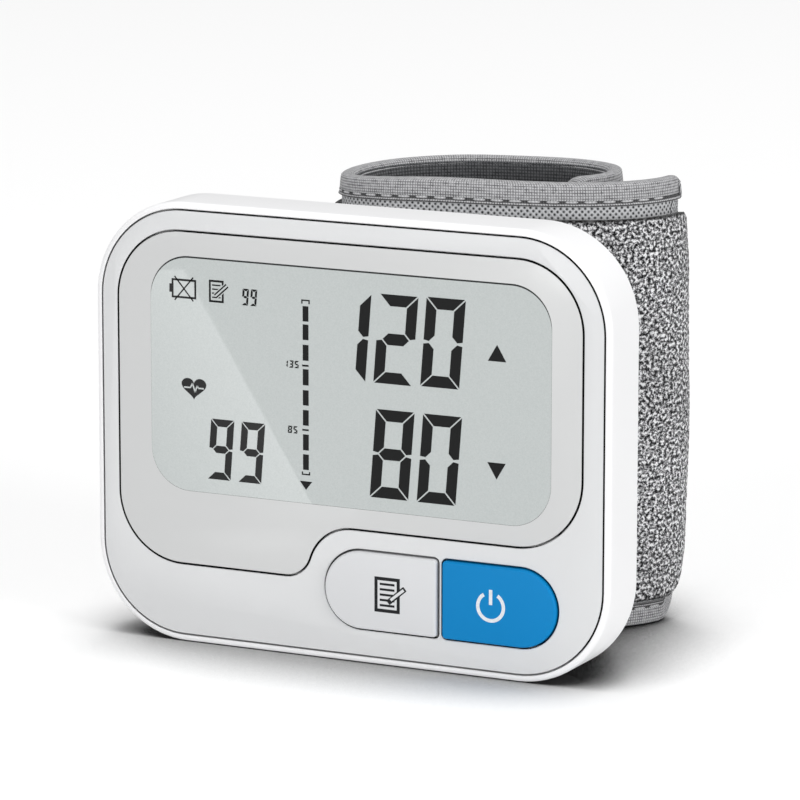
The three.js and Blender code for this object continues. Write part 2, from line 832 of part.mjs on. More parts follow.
function makeValveTube() {
  const top = lineY - manifoldSize / 2 - seatGap;
  return tubeAlong(valveTubeLength).translate(lineX, top - valveTubeLength / 2, -motorDepth);
}

function makeBleedValve() {
  const top = lineY - manifoldSize / 2 - valveTubeLength - 2 * seatGap;
  const back = -rearInnerDepth + seatGap;
  return box(
    lineX - valveWidth / 2, lineX + valveWidth / 2, top - valveLength, top,
    back, back + valveThickness,
  );
}

// Cuff geometry: a squarish oval, turned a little, that swells at mid height and rises over its start

function cuffPoint(angle, offset, height) {
  const rise = 1 - (2 * height / cuffHeight - 1) ** 2;
  const lift = overlapLift * THREE.MathUtils.smoothstep(angle, rampStartAngle, rampEndAngle);
  const reach = offset + lift + rise * cuffSwell;
  const power = 2 / openingSquareness;
  const along = Math.sign(Math.cos(angle)) * Math.abs(Math.cos(angle)) ** power;
  const across = Math.sign(Math.sin(angle)) * Math.abs(Math.sin(angle)) ** power;
  const flat = new THREE.Vector2(
    (openingLength / 2 + reach) * along,
    (openingWidth / 2 + reach) * across,
  );
  flat.rotateAround(new THREE.Vector2(0, 0), cuffTurn);
  return new THREE.Vector3(cuffCentreX + flat.x, cuffCentreY + flat.y, height);
}

function anglesBetween(from, to, steps = Math.round((to - from) / wrapAngle)) {
  return Array.from({ length: steps + 1 }, (unused, step) => from + (step / steps) * (to - from));
}

// A ply that follows the oval; its section lists shares across and up, counter-clockwise.
// Its trim draws the ply in from the low and high edges at each angle.
function wrap(angles, section, offset, thickness, low, high, trimAt = () => [0, 0]) {
  const count = section.length;
  const positions = [];
  for (const angle of angles) {
    const [lowTrim, highTrim] = trimAt(angle);
    for (const share of section) {
      const height = low + lowTrim + share.y * (high - highTrim - low - lowTrim);
      const point = cuffPoint(angle, offset + share.x * thickness, height);
      positions.push(point.x, point.y, point.z);
    }
  }
  const last = (angles.length - 1) * count;
  const indices = [];
  for (let ring = 0; ring < last; ring += count) {
    for (let i = 0; i < count; i += 1) {
      const a = ring + i;
      const b = ring + (i + 1) % count;
      indices.push(a, a + count, b + count, a, b + count, b);
    }
  }
  for (const [a, b, c] of THREE.ShapeUtils.triangulateShape(section, [])) {
    indices.push(a, b, c);
    indices.push(last + c, last + b, last + a);
  }
  const geometry = new THREE.BufferGeometry();
  geometry.setAttribute('position', new THREE.Float32BufferAttribute(positions, 3));
  geometry.setIndex(indices);
  geometry.computeVertexNormals();
  return geometry;
}

// A flat ply's section, with rows up both faces so that it can swell
function plySection(rows) {
  const section = [];
  for (let row = 0; row <= rows; row += 1) {
    section.push(new THREE.Vector2(1, row / rows));
  }
  for (let row = rows; row >= 0; row -= 1) {
    section.push(new THREE.Vector2(0, row / rows));
  }
  return section;
}

// The binding's section: rounded over at its free edge, flat where it stands on the plies
function bindingSection(up) {
  const section = bindingShares.map(([x, y]) => new THREE.Vector2(x, up ? y : 1 - y));
  return up ? section : section.reverse();
}

function ply(from, to, offset, thickness, margin) {
  const low = bindingHeight + seatGap + margin;
  const high = cuffHeight - bindingHeight - seatGap - margin;
  return wrap(anglesBetween(from, to), plySection(plyRows), offset, thickness, low, high);
}

function makeFelt() {
  const angles = anglesBetween(bandStartAngle, tabRootAngle);
  return wrap(angles, plySection(plyRows), feltOffset, feltThickness, feltLow, feltHigh);
}

function makeBinding(up) {
  const low = up ? cuffHeight - bindingHeight : 0;
  const angles = anglesBetween(bandStartAngle, tabRootAngle);
  return wrap(angles, bindingSection(up), 0, sleeveThickness, low, low + bindingHeight);
}

// The free end of the band, in one piece, with round corners; it stands just clear of the ground
function tabRadius() {
  return openingLength / 2 + overlapLift;
}

function tabTrim(angle) {
  const reach = THREE.MathUtils.clamp(1 - ((tabEndAngle - angle) * tabRadius()) / tabCornerRadius, 0, 1);
  const trim = tabCornerRadius * (1 - Math.sqrt(1 - reach ** 2));
  return [trim, tabHighCornerShare * trim];
}

// The felt stands proud of the tab between its bound edges
function tabSection() {
  const edge = sleeveThickness / bandThickness;
  const low = feltLow / cuffHeight;
  const high = feltHigh / cuffHeight;
  const flat = plySection(plyRows);
  const outerShares = flat.slice(0, plyRows + 1);
  const outer = outerShares.map((share) => new THREE.Vector2(1, low + share.y * (high - low)));
  return [
    new THREE.Vector2(edge, 0),
    new THREE.Vector2(edge, low),
    ...outer,
    new THREE.Vector2(edge, high),
    new THREE.Vector2(edge, 1),
    ...flat.slice(plyRows + 1),
  ];
}

function makeTab() {
  const cornerAngle = tabCornerRadius / tabRadius();
  const angles = [
    ...anglesBetween(tabRootAngle + seatGap / tabRadius(), tabEndAngle - cornerAngle, tabSteps),
    ...anglesBetween(tabEndAngle - cornerAngle, tabEndAngle, edgeSteps).slice(1),
  ];
  return wrap(angles, tabSection(), 0, bandThickness, seatGap, cuffHeight, tabTrim);
}

function makeHook() {
  const angles = anglesBetween(hookStartAngle, hookEndAngle, tabSteps);
  const offset = -hookGap - hookThickness;
  const low = feltLow + hookMargin;
  const high = feltHigh - hookMargin;
  return wrap(angles, plySection(plyRows), offset, hookThickness, low, high);
}

function nozzleHole(geometry) {
  const hole = holeBehindCase(nozzleRadius + seatGap, cuffCentreY - caseDepth, lineX, lineY);
  return toGeometry(cut(toSolid(geometry), [hole]));
}

// Where the front of the oval lies at one place across
function frontWallAt(x, offset, height) {
  let low = Math.PI;
  let high = 2 * Math.PI;
  for (let turn = 0; turn < bisections; turn += 1) {
    const middle = (low + high) / 2;
    if (cuffPoint(middle, offset, height).x < x) {
      low = middle;
    } else {
      high = middle;
    }
  }
  return cuffPoint(low, offset, height).y;
}

function makeAirNozzle() {
  const front = motorDepth + manifoldSize / 2 + seatGap;
  const height = caseHeight / 2 + lineY;
  const reach = bladderOffset + bladderThickness;
  const nearest = Math.min(
    frontWallAt(lineX - nozzleRadius, reach, height),
    frontWallAt(lineX + nozzleRadius, reach, height),
  );
  const back = nearest - seatGap;
  const profile = [
    new THREE.Vector2(tubeBoreRadius, front),
    new THREE.Vector2(nozzleRadius, front),
    new THREE.Vector2(nozzleRadius, back),
    new THREE.Vector2(tubeBoreRadius, back),
    new THREE.Vector2(tubeBoreRadius, front),
  ];
  const nozzle = new THREE.LatheGeometry(profile, smallRoundSides);
  return nozzle.translate(lineX, 0, height);
}

function makeNozzleSeal() {
  const radius = nozzleRadius + slideGap + sealTubeRadius;
  const seal = new THREE.TorusGeometry(radius, sealTubeRadius, smallRoundSides / 2, pinSides * 2);
  const depth = rearInnerDepth - slideGap - sealTubeRadius;
  return seal.rotateX(Math.PI / 2).translate(lineX, depth, caseHeight / 2 + lineY);
}

// What the front half of the band takes up, with its fit
function bandSpace() {
  const rows = 2 * plyRows;
  const angles = anglesBetween(Math.PI, tabRootAngle);
  const levels = [];
  for (let row = 0; row <= rows; row += 1) {
    const height = (row / rows) * cuffHeight;
    const points = angles.map((angle) => cuffPoint(angle, bandThickness + seatGap, height));
    levels.push({ outline: points.map((point) => new THREE.Vector2(point.x, point.y)), z: height });
  }
  return stack(levels);
}

// The saddle's back follows the band
function makeCuffSaddle() {
  const outline = roundedOutline(saddleWidth, saddleHeight, saddleCornerRadius, saddleX, 0);
  const block = slab(outline, -caseDepth - saddleReach, -caseDepth - seatGap);
  block.rotateX(Math.PI / 2).translate(0, 0, caseHeight / 2);
  const cutters = [bandSpace()];
  cutters.push(holeBehindCase(nozzleRadius + seatGap, saddleReach + overrun, lineX, lineY));
  for (const [x, y] of saddleScrewPlaces()) {
    cutters.push(holeBehindCase(saddleScrew.radius + screwPilotGap, saddleScrew.length, x, y));
  }
  return toGeometry(cut(toSolid(block), cutters));
}

function holeBehindCase(radius, length, x, y) {
  const hole = new THREE.CylinderGeometry(radius, radius, length, smallRoundSides);
  return hole.translate(x, caseDepth + length / 2, caseHeight / 2 + y);
}

// Assembly

function buildHousing() {
  addPiece(housing, 'front_cover', makeFrontCover(), whitePlastic);
  addPiece(housing, 'face_panel', makeFacePanel(), panelPlastic);
  addPiece(housing, 'display_lens', slab(lensOutline(0), -panelThickness, 0), clearPlastic);
  addPiece(housing, 'rear_cover', makeRearCover(), whitePlastic);
  addPiece(housing, 'battery_door', makeBatteryDoor(), whitePlastic);
  addPiece(housing, 'lcd_glass', makeLcdGlass(), displayGlass);
  addPiece(housing, 'lcd_reflector', makeLcdReflector(), displayGlass);
  addPiece(housing, 'lcd_holder', makeLcdHolder(), innerPlastic);
  addPiece(housing, 'zebra_strip', makeZebraStrip(), softRubber);
  for (const [name, side, finish] of [['memory', -1, whitePlastic], ['start', 1, bluePlastic]]) {
    addPiece(housing, `${name}_button`, makeButton(side), finish);
    addPiece(housing, `${name}_switch_base`, makeSwitchBase(side), innerPlastic);
    addPiece(housing, `${name}_switch_plunger`, makeSwitchPlunger(side), whitePlastic);
  }
  addPiece(housing, 'circuit_board', makeCircuitBoard(), boardLaminate);
  addPiece(housing, 'control_chip', makeControlChip(), innerPlastic);
  addPiece(housing, 'buzzer', makeBuzzer(), innerPlastic);
  addPiece(housing, 'pressure_sensor', makePressureSensor(), whitePlastic);
}

function buildPowerAndAir() {
  addPiece(housing, 'battery_1', makeCell(0), cellJacket);
  addPiece(housing, 'battery_2', makeCell(1), cellJacket);
  addPiece(housing, 'battery_link_plate', makeContactPlate(1, 0, -1), plainSteel);
  addPiece(housing, 'battery_plus_plate', makeContactPlate(0, 0, 1), plainSteel);
  addPiece(housing, 'battery_minus_plate', makeContactPlate(1, 1, 1), plainSteel);
  addPiece(housing, 'pump_motor', makePumpMotor(), plainSteel);
  addPiece(housing, 'pump_head', makePumpHead(), innerPlastic);
  addPiece(housing, 'pump_eccentric', makePumpEccentric(), plainSteel);
  addPiece(housing, 'air_manifold', makeAirManifold(), softRubber);
  addPiece(housing, 'pump_tube', makePumpTube(), softRubber);
  addPiece(housing, 'valve_tube', makeValveTube(), softRubber);
  addPiece(housing, 'bleed_valve', makeBleedValve(), innerPlastic);
}

function addScrews(name, places, size, headDepth, way) {
  places.forEach((place, index) => {
    addPiece(housing, `${name}_${index + 1}`, makeScrew(size, place, headDepth, way), plainSteel);
  });
}

function buildScrews() {
  const caseHeadDepth = rearFrontDepth + caseScrewFloor + seatGap;
  addScrews('case_screw', caseScrewPlaces(), caseScrew, caseHeadDepth, 1);
  addScrews('board_screw', boardScrewPlaces(), boardScrew, boardBackDepth + seatGap, 1);
  addScrews('saddle_screw', saddleScrewPlaces(), saddleScrew, rearInnerDepth - seatGap, -1);
}

function buildCuff() {
  const lining = ply(bandStartAngle, tabRootAngle, 0, plyThickness, 0);
  const bladder = ply(bladderStartAngle, bladderEndAngle, bladderOffset, bladderThickness, bladderMargin);
  const curler = ply(curlerStartAngle, curlerEndAngle, curlerOffset, plyThickness, curlerMargin);
  const cover = ply(bandStartAngle, tabRootAngle, coverOffset, plyThickness, 0);
  addPiece(cuff, 'cuff_lining', lining, liningCloth);
  addPiece(cuff, 'cuff_bladder', bladder, softRubber);
  addPiece(cuff, 'cuff_curler', nozzleHole(curler), innerPlastic);
  addPiece(cuff, 'cuff_cover', nozzleHole(cover), knit);
  addPiece(cuff, 'cuff_felt', nozzleHole(makeFelt()), felt);
  addPiece(cuff, 'cuff_bottom_binding', makeBinding(false), bindingTape);
  addPiece(cuff, 'cuff_top_binding', makeBinding(true), bindingTape);
  addPiece(cuff, 'cuff_tab', makeTab(), felt);
  addPiece(cuff, 'cuff_hook_patch', makeHook(), innerPlastic);
  addPiece(cuff, 'cuff_saddle', makeCuffSaddle(), whitePlastic);
  addPiece(cuff, 'air_nozzle', makeAirNozzle(), innerPlastic);
  addPiece(cuff, 'nozzle_seal', makeNozzleSeal(), softRubber);
}

buildHousing();
buildPowerAndAir();
buildScrews();
buildCuff();

// The origin is the centre of the footprint, on the plane that the part stands on
part.updateMatrixWorld(true);
const extent = new THREE.Box3().setFromObject(part, true);
part.position.y = -(extent.min.y + extent.max.y) / 2;

export default part;
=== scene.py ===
from math import atan2, copysign, cos, degrees, hypot, pi, radians, sin, sqrt, tan, tau

import bmesh
import bpy
from mathutils import Matrix, Vector, noise


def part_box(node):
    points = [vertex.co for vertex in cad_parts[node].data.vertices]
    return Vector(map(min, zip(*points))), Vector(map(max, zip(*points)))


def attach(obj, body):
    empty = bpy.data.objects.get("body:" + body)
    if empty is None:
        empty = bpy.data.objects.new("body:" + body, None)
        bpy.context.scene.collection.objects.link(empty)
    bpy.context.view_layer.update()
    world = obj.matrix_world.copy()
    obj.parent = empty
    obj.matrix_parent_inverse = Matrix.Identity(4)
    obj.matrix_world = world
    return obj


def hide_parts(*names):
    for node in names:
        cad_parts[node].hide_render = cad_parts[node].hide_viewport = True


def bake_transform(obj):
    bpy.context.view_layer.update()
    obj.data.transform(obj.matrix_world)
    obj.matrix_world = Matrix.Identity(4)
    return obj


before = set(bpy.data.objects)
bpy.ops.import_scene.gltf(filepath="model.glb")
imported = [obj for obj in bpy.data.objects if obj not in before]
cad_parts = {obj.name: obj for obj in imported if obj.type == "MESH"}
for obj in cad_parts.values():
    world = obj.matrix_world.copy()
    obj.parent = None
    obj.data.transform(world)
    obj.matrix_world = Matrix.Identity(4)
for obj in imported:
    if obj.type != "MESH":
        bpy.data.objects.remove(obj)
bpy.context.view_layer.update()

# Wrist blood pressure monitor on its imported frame. Sizes are in millimetres: x and z from the
# centre of the front face, depth backwards from it. The display faces -Y.

mm = 0.001
caseLow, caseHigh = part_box("front_cover")
faceY, midZ = caseLow.y, (caseLow.z + caseHigh.z) / 2
fixedBody, freeBody = "case_and_cuff", "cuff_free_end"


# Nodes: one call adds a node, sets its inputs or links them to other nodes' outputs, and gives one output

def addNode(finish, kind, output=0, inputs=None, **settings):
    node = finish.node_tree.nodes.new("ShaderNode" + kind)
    for name, value in settings.items():
        setattr(node, name, value)
    for name, value in (inputs or {}).items():
        if isinstance(value, bpy.types.NodeSocket):
            finish.node_tree.links.new(value, node.inputs[name])
        else:
            node.inputs[name].default_value = value
    return node.outputs[output] if node.outputs else node


def noiseOf(finish, place, scale, detail=3, roughness=0.55, stretch=None):
    if stretch:
        place = addNode(finish, "Mapping", inputs={"Vector": place, "Scale": stretch})
    return addNode(finish, "TexNoise", "Fac", {"Vector": place, "Scale": scale, "Detail": detail,
                                               "Roughness": roughness})


# Stops are pairs of place and colour, in rising order
def rampOf(finish, source, *stops):
    colour = addNode(finish, "ValToRGB", "Color", {"Fac": source})
    elements = colour.node.color_ramp.elements
    for _ in stops[2:]:
        elements.new(0.5)
    for element, (place, shade) in zip(elements, stops):
        element.position = place
        element.color = shade
    return colour


def rangeOf(finish, source, low, high, fromLow=0.3, fromHigh=0.7):
    return addNode(finish, "MapRange", "Result", {
        "Value": source, "From Min": fromLow, "From Max": fromHigh, "To Min": low, "To Max": high})


def heightShare(finish, place, top):
    return rangeOf(finish, addNode(finish, "SeparateXYZ", "Y", {0: place}), 0, 1, 0, top)


def bumpOf(finish, height, strength, distance, under=None):
    inputs = {"Height": height, "Strength": strength, "Distance": distance}
    if under:
        inputs["Normal"] = under
    return addNode(finish, "Bump", "Normal", inputs)


def multiplied(finish, colour, share, tint):
    return addNode(finish, "Mix", 2, {0: share, 6: colour, 7: tint}, data_type="RGBA",
                   blend_type="MULTIPLY")


def paintOf(red, green, blue):
    return tuple((channel / 255) ** 2.2 for channel in (red, green, blue)) + (1,)


def greyOf(value):
    return (value, value, value, 1)


def shadeOf(colour, share):
    return tuple(channel * share for channel in colour[:3]) + (1,)


# Camera, room and floor

shot = {"place": (0.330895, -0.682502, 0.186379), "target": (0.00872, -0.029884, 0.040935),
        "lens": 225.18, "roll": 0.048, "nearest": 0.01}
room = {"world": 0.3, "floorSize": 6, "floorShade": 0.78, "floorSeen": 1.0, "floorGloss": 0.06,
        "floorPolish": 0.09, "contact": 0.055, "contactShade": 0.01, "contactStops": (0.34, 0.74)}
lampTarget = (0, 0, 0.035)
lamps = {
    "overheadLamp": {"place": (0.0, 0.35, 4.2), "size": 2.4, "watts": 120},
    "frontLamp": {"place": (-0.35, -1.85, 0.4), "size": 0.8, "watts": 13.5},
    "sideLamp": {"place": (1.6, -0.5, 0.5), "size": 0.8, "watts": 13},
}
# A card on the floor in front, seen only as the pale streak that the display mirrors
streakCard = {"place": (-0.114595, -0.188556, 0.0005), "length": 0.300263, "width": 0.027, "turn": 56.0241,
              "watts": 0.056}


def aimAt(thing, place, target):
    thing.rotation_euler = (Vector(target) - Vector(place)).to_track_quat("-Z", "Y").to_euler()


def addCamera():
    bpy.ops.object.camera_add(location=shot["place"])
    camera = bpy.context.object
    camera.name = "photoCamera"
    aimAt(camera, shot["place"], shot["target"])
    camera.rotation_euler.rotate_axis("Z", radians(shot["roll"]))
    camera.data.lens = shot["lens"]
    camera.data.clip_start = shot["nearest"]
    bpy.context.scene.camera = camera


def addLamp(name, place, size, watts):
    bpy.ops.object.light_add(type="AREA", location=place)
    lamp = bpy.context.object
    lamp.name = name
    lamp.data.shape = "DISK"
    lamp.data.size = size
    lamp.data.energy = watts
    aimAt(lamp, place, lampTarget)
    return lamp


def addRoom():
    world = bpy.data.worlds.new("paleRoom")
    world.use_nodes = True
    background = world.node_tree.nodes["Background"]
    background.inputs["Color"].default_value = greyOf(1)
    background.inputs["Strength"].default_value = room["world"]
    bpy.context.scene.world = world
    for name, lamp in lamps.items():
        addLamp(name, **lamp)


def addStreakCard():
    card = addLamp("streakCard", streakCard["place"], streakCard["length"], streakCard["watts"])
    card.data.shape = "RECTANGLE"
    card.data.size_y = streakCard["width"]
    card.rotation_euler = (pi, 0, radians(streakCard["turn"]))
    card.visible_camera = False
    card.visible_diffuse = False
    card.data.use_nodes = True    # the card fades out across its width
    fade = addNode(card.data, "SeparateXYZ", "Y", {0: addNode(card.data, "NewGeometry", "Parametric")})
    tree = card.data.node_tree
    tree.links.new(fade, tree.nodes["Emission"].inputs["Strength"])


# The camera sees a brighter floor than the lamps do, and the close shadow where the case curves off it
def addFloor():
    bpy.ops.object.select_all(action="DESELECT")
    bpy.ops.mesh.primitive_plane_add(size=room["floorSize"], location=(0, 0, 0))
    floor = bpy.context.object
    floor.name = "studioFloor"
    paint = bpy.data.materials.new("floorPaint")
    paint.use_nodes = True
    paint.node_tree.nodes.clear()
    contact = addNode(paint, "AmbientOcclusion", "AO", {"Distance": room["contact"]}, samples=12)
    dark, clear = room["contactStops"]
    seen = rampOf(paint, contact, (dark, greyOf(room["contactShade"])), (clear, greyOf(room["floorSeen"])))
    shade = addNode(paint, "Mix", 2, {0: addNode(paint, "LightPath", "Is Camera Ray"),
                                      6: greyOf(room["floorShade"]), 7: seen}, data_type="RGBA")
    matte = addNode(paint, "BsdfDiffuse", inputs={"Color": shade})
    gloss = addNode(paint, "BsdfGlossy", inputs={"Roughness": room["floorPolish"]})
    surface = addNode(paint, "MixShader", inputs={0: room["floorGloss"], 1: matte, 2: gloss})
    addNode(paint, "OutputMaterial", inputs={"Surface": surface})
    floor.data.materials.append(paint)


addCamera()
addRoom()
addStreakCard()
addFloor()
print("camera, lamps and floor are in place")


# Finishes: each starts with its fixed sockets and ends with colour, roughness and relief from its nodes

white = greyOf(1)


def startFinish(name, coordinates="Object", **sockets):
    finish = bpy.data.materials.new(name)
    finish.use_nodes = True
    shader = finish.node_tree.nodes["Principled BSDF"]
    for socket, value in sockets.items():
        shader.inputs[socket.replace("_", " ")].default_value = value
    return finish, addNode(finish, "TexCoord", coordinates)


def startCloth(name, sheen, sheenRoughness, specular):
    return startFinish(name, "UV", Sheen_Weight=sheen, Sheen_Roughness=sheenRoughness,
                       Specular_IOR_Level=specular)


def endFinish(finish, colour, roughness, relief=None):
    shader = finish.node_tree.nodes["Principled BSDF"]
    for socket, source in (("Base Color", colour), ("Roughness", roughness), ("Normal", relief)):
        if source:
            finish.node_tree.links.new(source, shader.inputs[socket])
    return finish


# Moulded plastic: a fine spark grain, slight cloudiness and a roughness that wanders a little
moulded = {"cloud": 35, "spark": 3600, "spread": 0.05, "relief": 0.00003}


def mouldedFinish(name, colour, roughness=0.36, grain=0.12, coat=0.0, drift=0.03, specular=0.45):
    finish, place = startFinish(name, Coat_Weight=coat, Coat_Roughness=0.12, Specular_IOR_Level=specular)
    cloud = noiseOf(finish, place, moulded["cloud"], 2)
    fine = noiseOf(finish, place, moulded["spark"], 2, 0.6)
    return endFinish(finish, rampOf(finish, cloud, (0.3, shadeOf(colour, 1 - drift)), (0.7, colour)),
                     rangeOf(finish, fine, roughness - moulded["spread"], roughness + moulded["spread"]),
                     bumpOf(finish, fine, grain, moulded["relief"]))


# Metal, with streaks where it was drawn or turned
def metalFinish(name, colour, stretch, roughness=0.28):
    finish, place = startFinish(name, Metallic=1)
    streaks = noiseOf(finish, place, 900, 3, 0.6, stretch)
    return endFinish(finish, rampOf(finish, streaks, (0.3, shadeOf(colour, 0.85)), (0.7, colour)),
                     rangeOf(finish, streaks, roughness - 0.06, roughness + 0.1),
                     bumpOf(finish, streaks, 0.1, 0.00002))


# The reflective display: a faint grain behind a polished clear lens
def displayFinish():
    finish, place = startFinish("displayPane", Coat_Weight=1, Coat_Roughness=0.02, Specular_IOR_Level=0.3)
    grain = noiseOf(finish, place, 5200, 2, 0.7)
    colour = rampOf(finish, grain, (0.3, paintOf(179, 185, 184)), (0.7, paintOf(190, 195, 194)))
    return endFinish(finish, colour, rangeOf(finish, grain, 0.42, 0.5))


# Printed ink, or the display's dark segments, slightly uneven
def printFinish(name, colour, coat=0.6, roughness=0.35):
    finish, place = startFinish(name, Coat_Weight=coat, Coat_Roughness=0.03, Specular_IOR_Level=0.12)
    patch = noiseOf(finish, place, 1800, 2)
    return endFinish(finish, rampOf(finish, patch, (0.25, shadeOf(colour, 0.82)), (0.75, colour)),
                     rangeOf(finish, patch, roughness - 0.04, roughness + 0.04))


# Loop fabric: matted fibres in light and dark grey, mottled at about half a millimetre, darker in a thin
# band along its top and bottom edges
felt = {"fibres": 1.8, "tufts": 1.3, "wear": 0.07, "wearShare": 0.5, "rim": 0.4, "relief": 0.0003,
        "tuftRelief": 0.0004}
rimShade, wornShade = greyOf(0.12), greyOf(0.7)


def loopFinish(bandHeight, feltLow, feltHigh):
    finish, place = startCloth("loopFelt", 0.2, 0.5, 0.1)
    fibres = noiseOf(finish, place, felt["fibres"], 3, 0.7)
    tufts = noiseOf(finish, place, felt["tufts"], 3, 0.6)
    worn = rampOf(finish, noiseOf(finish, place, felt["wear"], 2), (0.35, wornShade), (0.6, white))
    colour = rampOf(finish, fibres, (0.41, paintOf(16, 16, 18)), (0.5, paintOf(116, 116, 118)),
                    (0.59, paintOf(246, 246, 248)))
    low, high, rim = feltLow / bandHeight, feltHigh / bandHeight, felt["rim"] / bandHeight
    edge = rampOf(finish, heightShare(finish, place, bandHeight),
                  (low + rim * 0.6, rimShade), (low + rim * 1.4, white),
                  (high - rim * 1.4, white), (high - rim * 0.6, rimShade))
    colour = multiplied(finish, multiplied(finish, colour, felt["wearShare"], worn), 1, edge)
    return endFinish(finish, colour, rangeOf(finish, tufts, 0.85, 1),
                     bumpOf(finish, fibres, 0.7, felt["relief"],
                            bumpOf(finish, tufts, 0.4, felt["tuftRelief"])))


# Woven cloth: two sets of ribs across each other, over uneven yarn. Pitches are in millimetres.
woven = {"waves": 0.314, "distortion": 0.6, "yarn": 1.1, "relief": 0.0003}
# painted shade for dark bands across a cloth
paintedBandShade = greyOf(0.2)


def wovenFinish(name, dark, light, pitchAlong, pitchUp, strength, sheen=0.15, paintedShadeBands=()):
    finish, place = startCloth(name, sheen, 0.4, 0.25)
    ribs = [addNode(finish, "TexWave", "Fac", {
        "Vector": place, "Scale": woven["waves"] / pitch, "Distortion": woven["distortion"],
        "Detail": 1, "Detail Scale": 2}, bands_direction=direction)
        for direction, pitch in (("X", pitchAlong), ("Y", pitchUp))]
    weave = addNode(finish, "Math", inputs={0: ribs[0], 1: ribs[1]}, operation="MULTIPLY")
    yarn = noiseOf(finish, place, woven["yarn"], 4, 0.65)
    total = addNode(finish, "Math", inputs={0: weave, 1: yarn}, operation="ADD")
    colour = rampOf(finish, total, (0.35, dark), (1.0, light))
    for low, high in paintedShadeBands:    # bands of painted shade, given as heights across the cloth
        soft, stretch = (high - low) / 3, 1 / (high + 1)
        paintedBand = rampOf(finish, heightShare(finish, place, high + 1),
                        (max(low - soft, 0) * stretch, white), (low * stretch, paintedBandShade),
                        (high * stretch, paintedBandShade), ((high + soft) * stretch, white))
        colour = multiplied(finish, colour, 1, paintedBand)
    return endFinish(finish, colour, rangeOf(finish, yarn, 0.7, 0.95),
                     bumpOf(finish, total, strength, woven["relief"]))


# Spacer mesh: rows of small dark holes in a light knit
knit = {"turn": 45, "holes": 1.45, "uneven": 0.12, "yarn": 2.4, "relief": 0.0004}


def meshFinish():
    finish, place = startCloth("spacerMesh", 0.2, 0.5, 0.2)
    turned = addNode(finish, "Mapping", inputs={"Vector": place, "Rotation": (0, 0, radians(knit["turn"]))})
    holes = addNode(finish, "TexVoronoi", "Distance", {"Vector": turned, "Scale": knit["holes"],
                                                       "Randomness": knit["uneven"]})
    yarn = noiseOf(finish, place, knit["yarn"], 4, 0.7)
    colour = rampOf(finish, holes, (0.14, paintOf(40, 41, 43)), (0.46, paintOf(216, 217, 219)))
    worn = rampOf(finish, yarn, (0.3, (0.55, 0.55, 0.56, 1)), (0.7, white))
    return endFinish(finish, multiplied(finish, colour, 0.7, worn), rangeOf(finish, yarn, 0.8, 1),
                     bumpOf(finish, holes, 0.7, knit["relief"]))


# Battery jacket: a dark sleeve with a bright band at the plus end. The shares say which end that is.
def jacketFinish(name, lowShare, highShare):
    finish, place = startFinish(name, Metallic=0.55, Coat_Weight=0.6, Coat_Roughness=0.08)
    cellLow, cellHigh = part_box("battery_1")
    along = rangeOf(finish, addNode(finish, "SeparateXYZ", "Z", {0: place}), lowShare, highShare,
                    cellLow.z, cellHigh.z)
    scuffs = noiseOf(finish, place, 700, 3, 0.6, (1, 1, 0.1))
    return endFinish(finish, rampOf(finish, along, (0.0, paintOf(52, 56, 64)), (0.73, paintOf(46, 50, 58)),
                                    (0.74, paintOf(196, 148, 72))),
                     rangeOf(finish, scuffs, 0.22, 0.4))


# Circuit board: fine tracks under a green lacquer
def boardFinish():
    finish, place = startFinish("boardLaminate", Coat_Weight=0.5, Coat_Roughness=0.2)
    turned = addNode(finish, "Mapping", inputs={"Vector": place, "Rotation": (radians(90), 0, 0)})
    tracks = addNode(finish, "TexBrick", "Color", {
        "Vector": turned, "Scale": 260, "Mortar Size": 0.03, "Brick Width": 1.6, "Row Height": 0.5,
        "Color1": paintOf(30, 92, 52), "Color2": paintOf(36, 104, 60), "Mortar": paintOf(70, 140, 84)})
    return endFinish(finish, tracks, rangeOf(finish, noiseOf(finish, place, 800), 0.35, 0.5),
                     bumpOf(finish, tracks.node.outputs["Fac"], 0.2, 0.00003))


shellWhite = mouldedFinish("shellWhite", paintOf(243, 243, 244), 0.34)
panelGrey = mouldedFinish("panelGrey", paintOf(216, 217, 218), 0.4, 0.16)
lensBorder = mouldedFinish("lensBorder", paintOf(203, 204, 204), 0.4, 0.02, 0.3, 0.015)
# painted shade for the walls of the grooves round the face plate and the lens
grooveShadePaint = mouldedFinish("grooveShadePaint", paintOf(16, 17, 18), 0.7, 0.1, 0.0, 0.1, 0.1)
keyGrey = mouldedFinish("keyGrey", paintOf(212, 213, 215), 0.42, 0.2)
keyBlue = mouldedFinish("keyBlue", paintOf(1, 128, 192), 0.5, 0.2, 0.0, 0.05, 0.14)
innerDark = mouldedFinish("innerDark", paintOf(58, 61, 64), 0.55, 0.3, 0.0, 0.15)
softRubber = mouldedFinish("softRubber", paintOf(140, 143, 146), 0.75, 0.4, 0.0, 0.1)
reflectorWhite = mouldedFinish("reflectorWhite", paintOf(222, 228, 224), 0.5, 0.2)
padFoam = mouldedFinish("padFoam", paintOf(150, 152, 155), 0.9, 0.6, 0.0, 0.1)
displayPane = displayFinish()
# painted shadow: the dark line where the display window's recess shades it, chiefly at the top
windowRecessShadow = printFinish("windowRecessShadow", paintOf(40, 42, 42))
liquidBlack = printFinish("liquidBlack", paintOf(12, 14, 15), 0.25, 0.5)
printBlack = printFinish("printBlack", paintOf(38, 39, 41), 0.0, 0.5)
printWhite = printFinish("printWhite", paintOf(232, 236, 240), 0.0, 0.5)
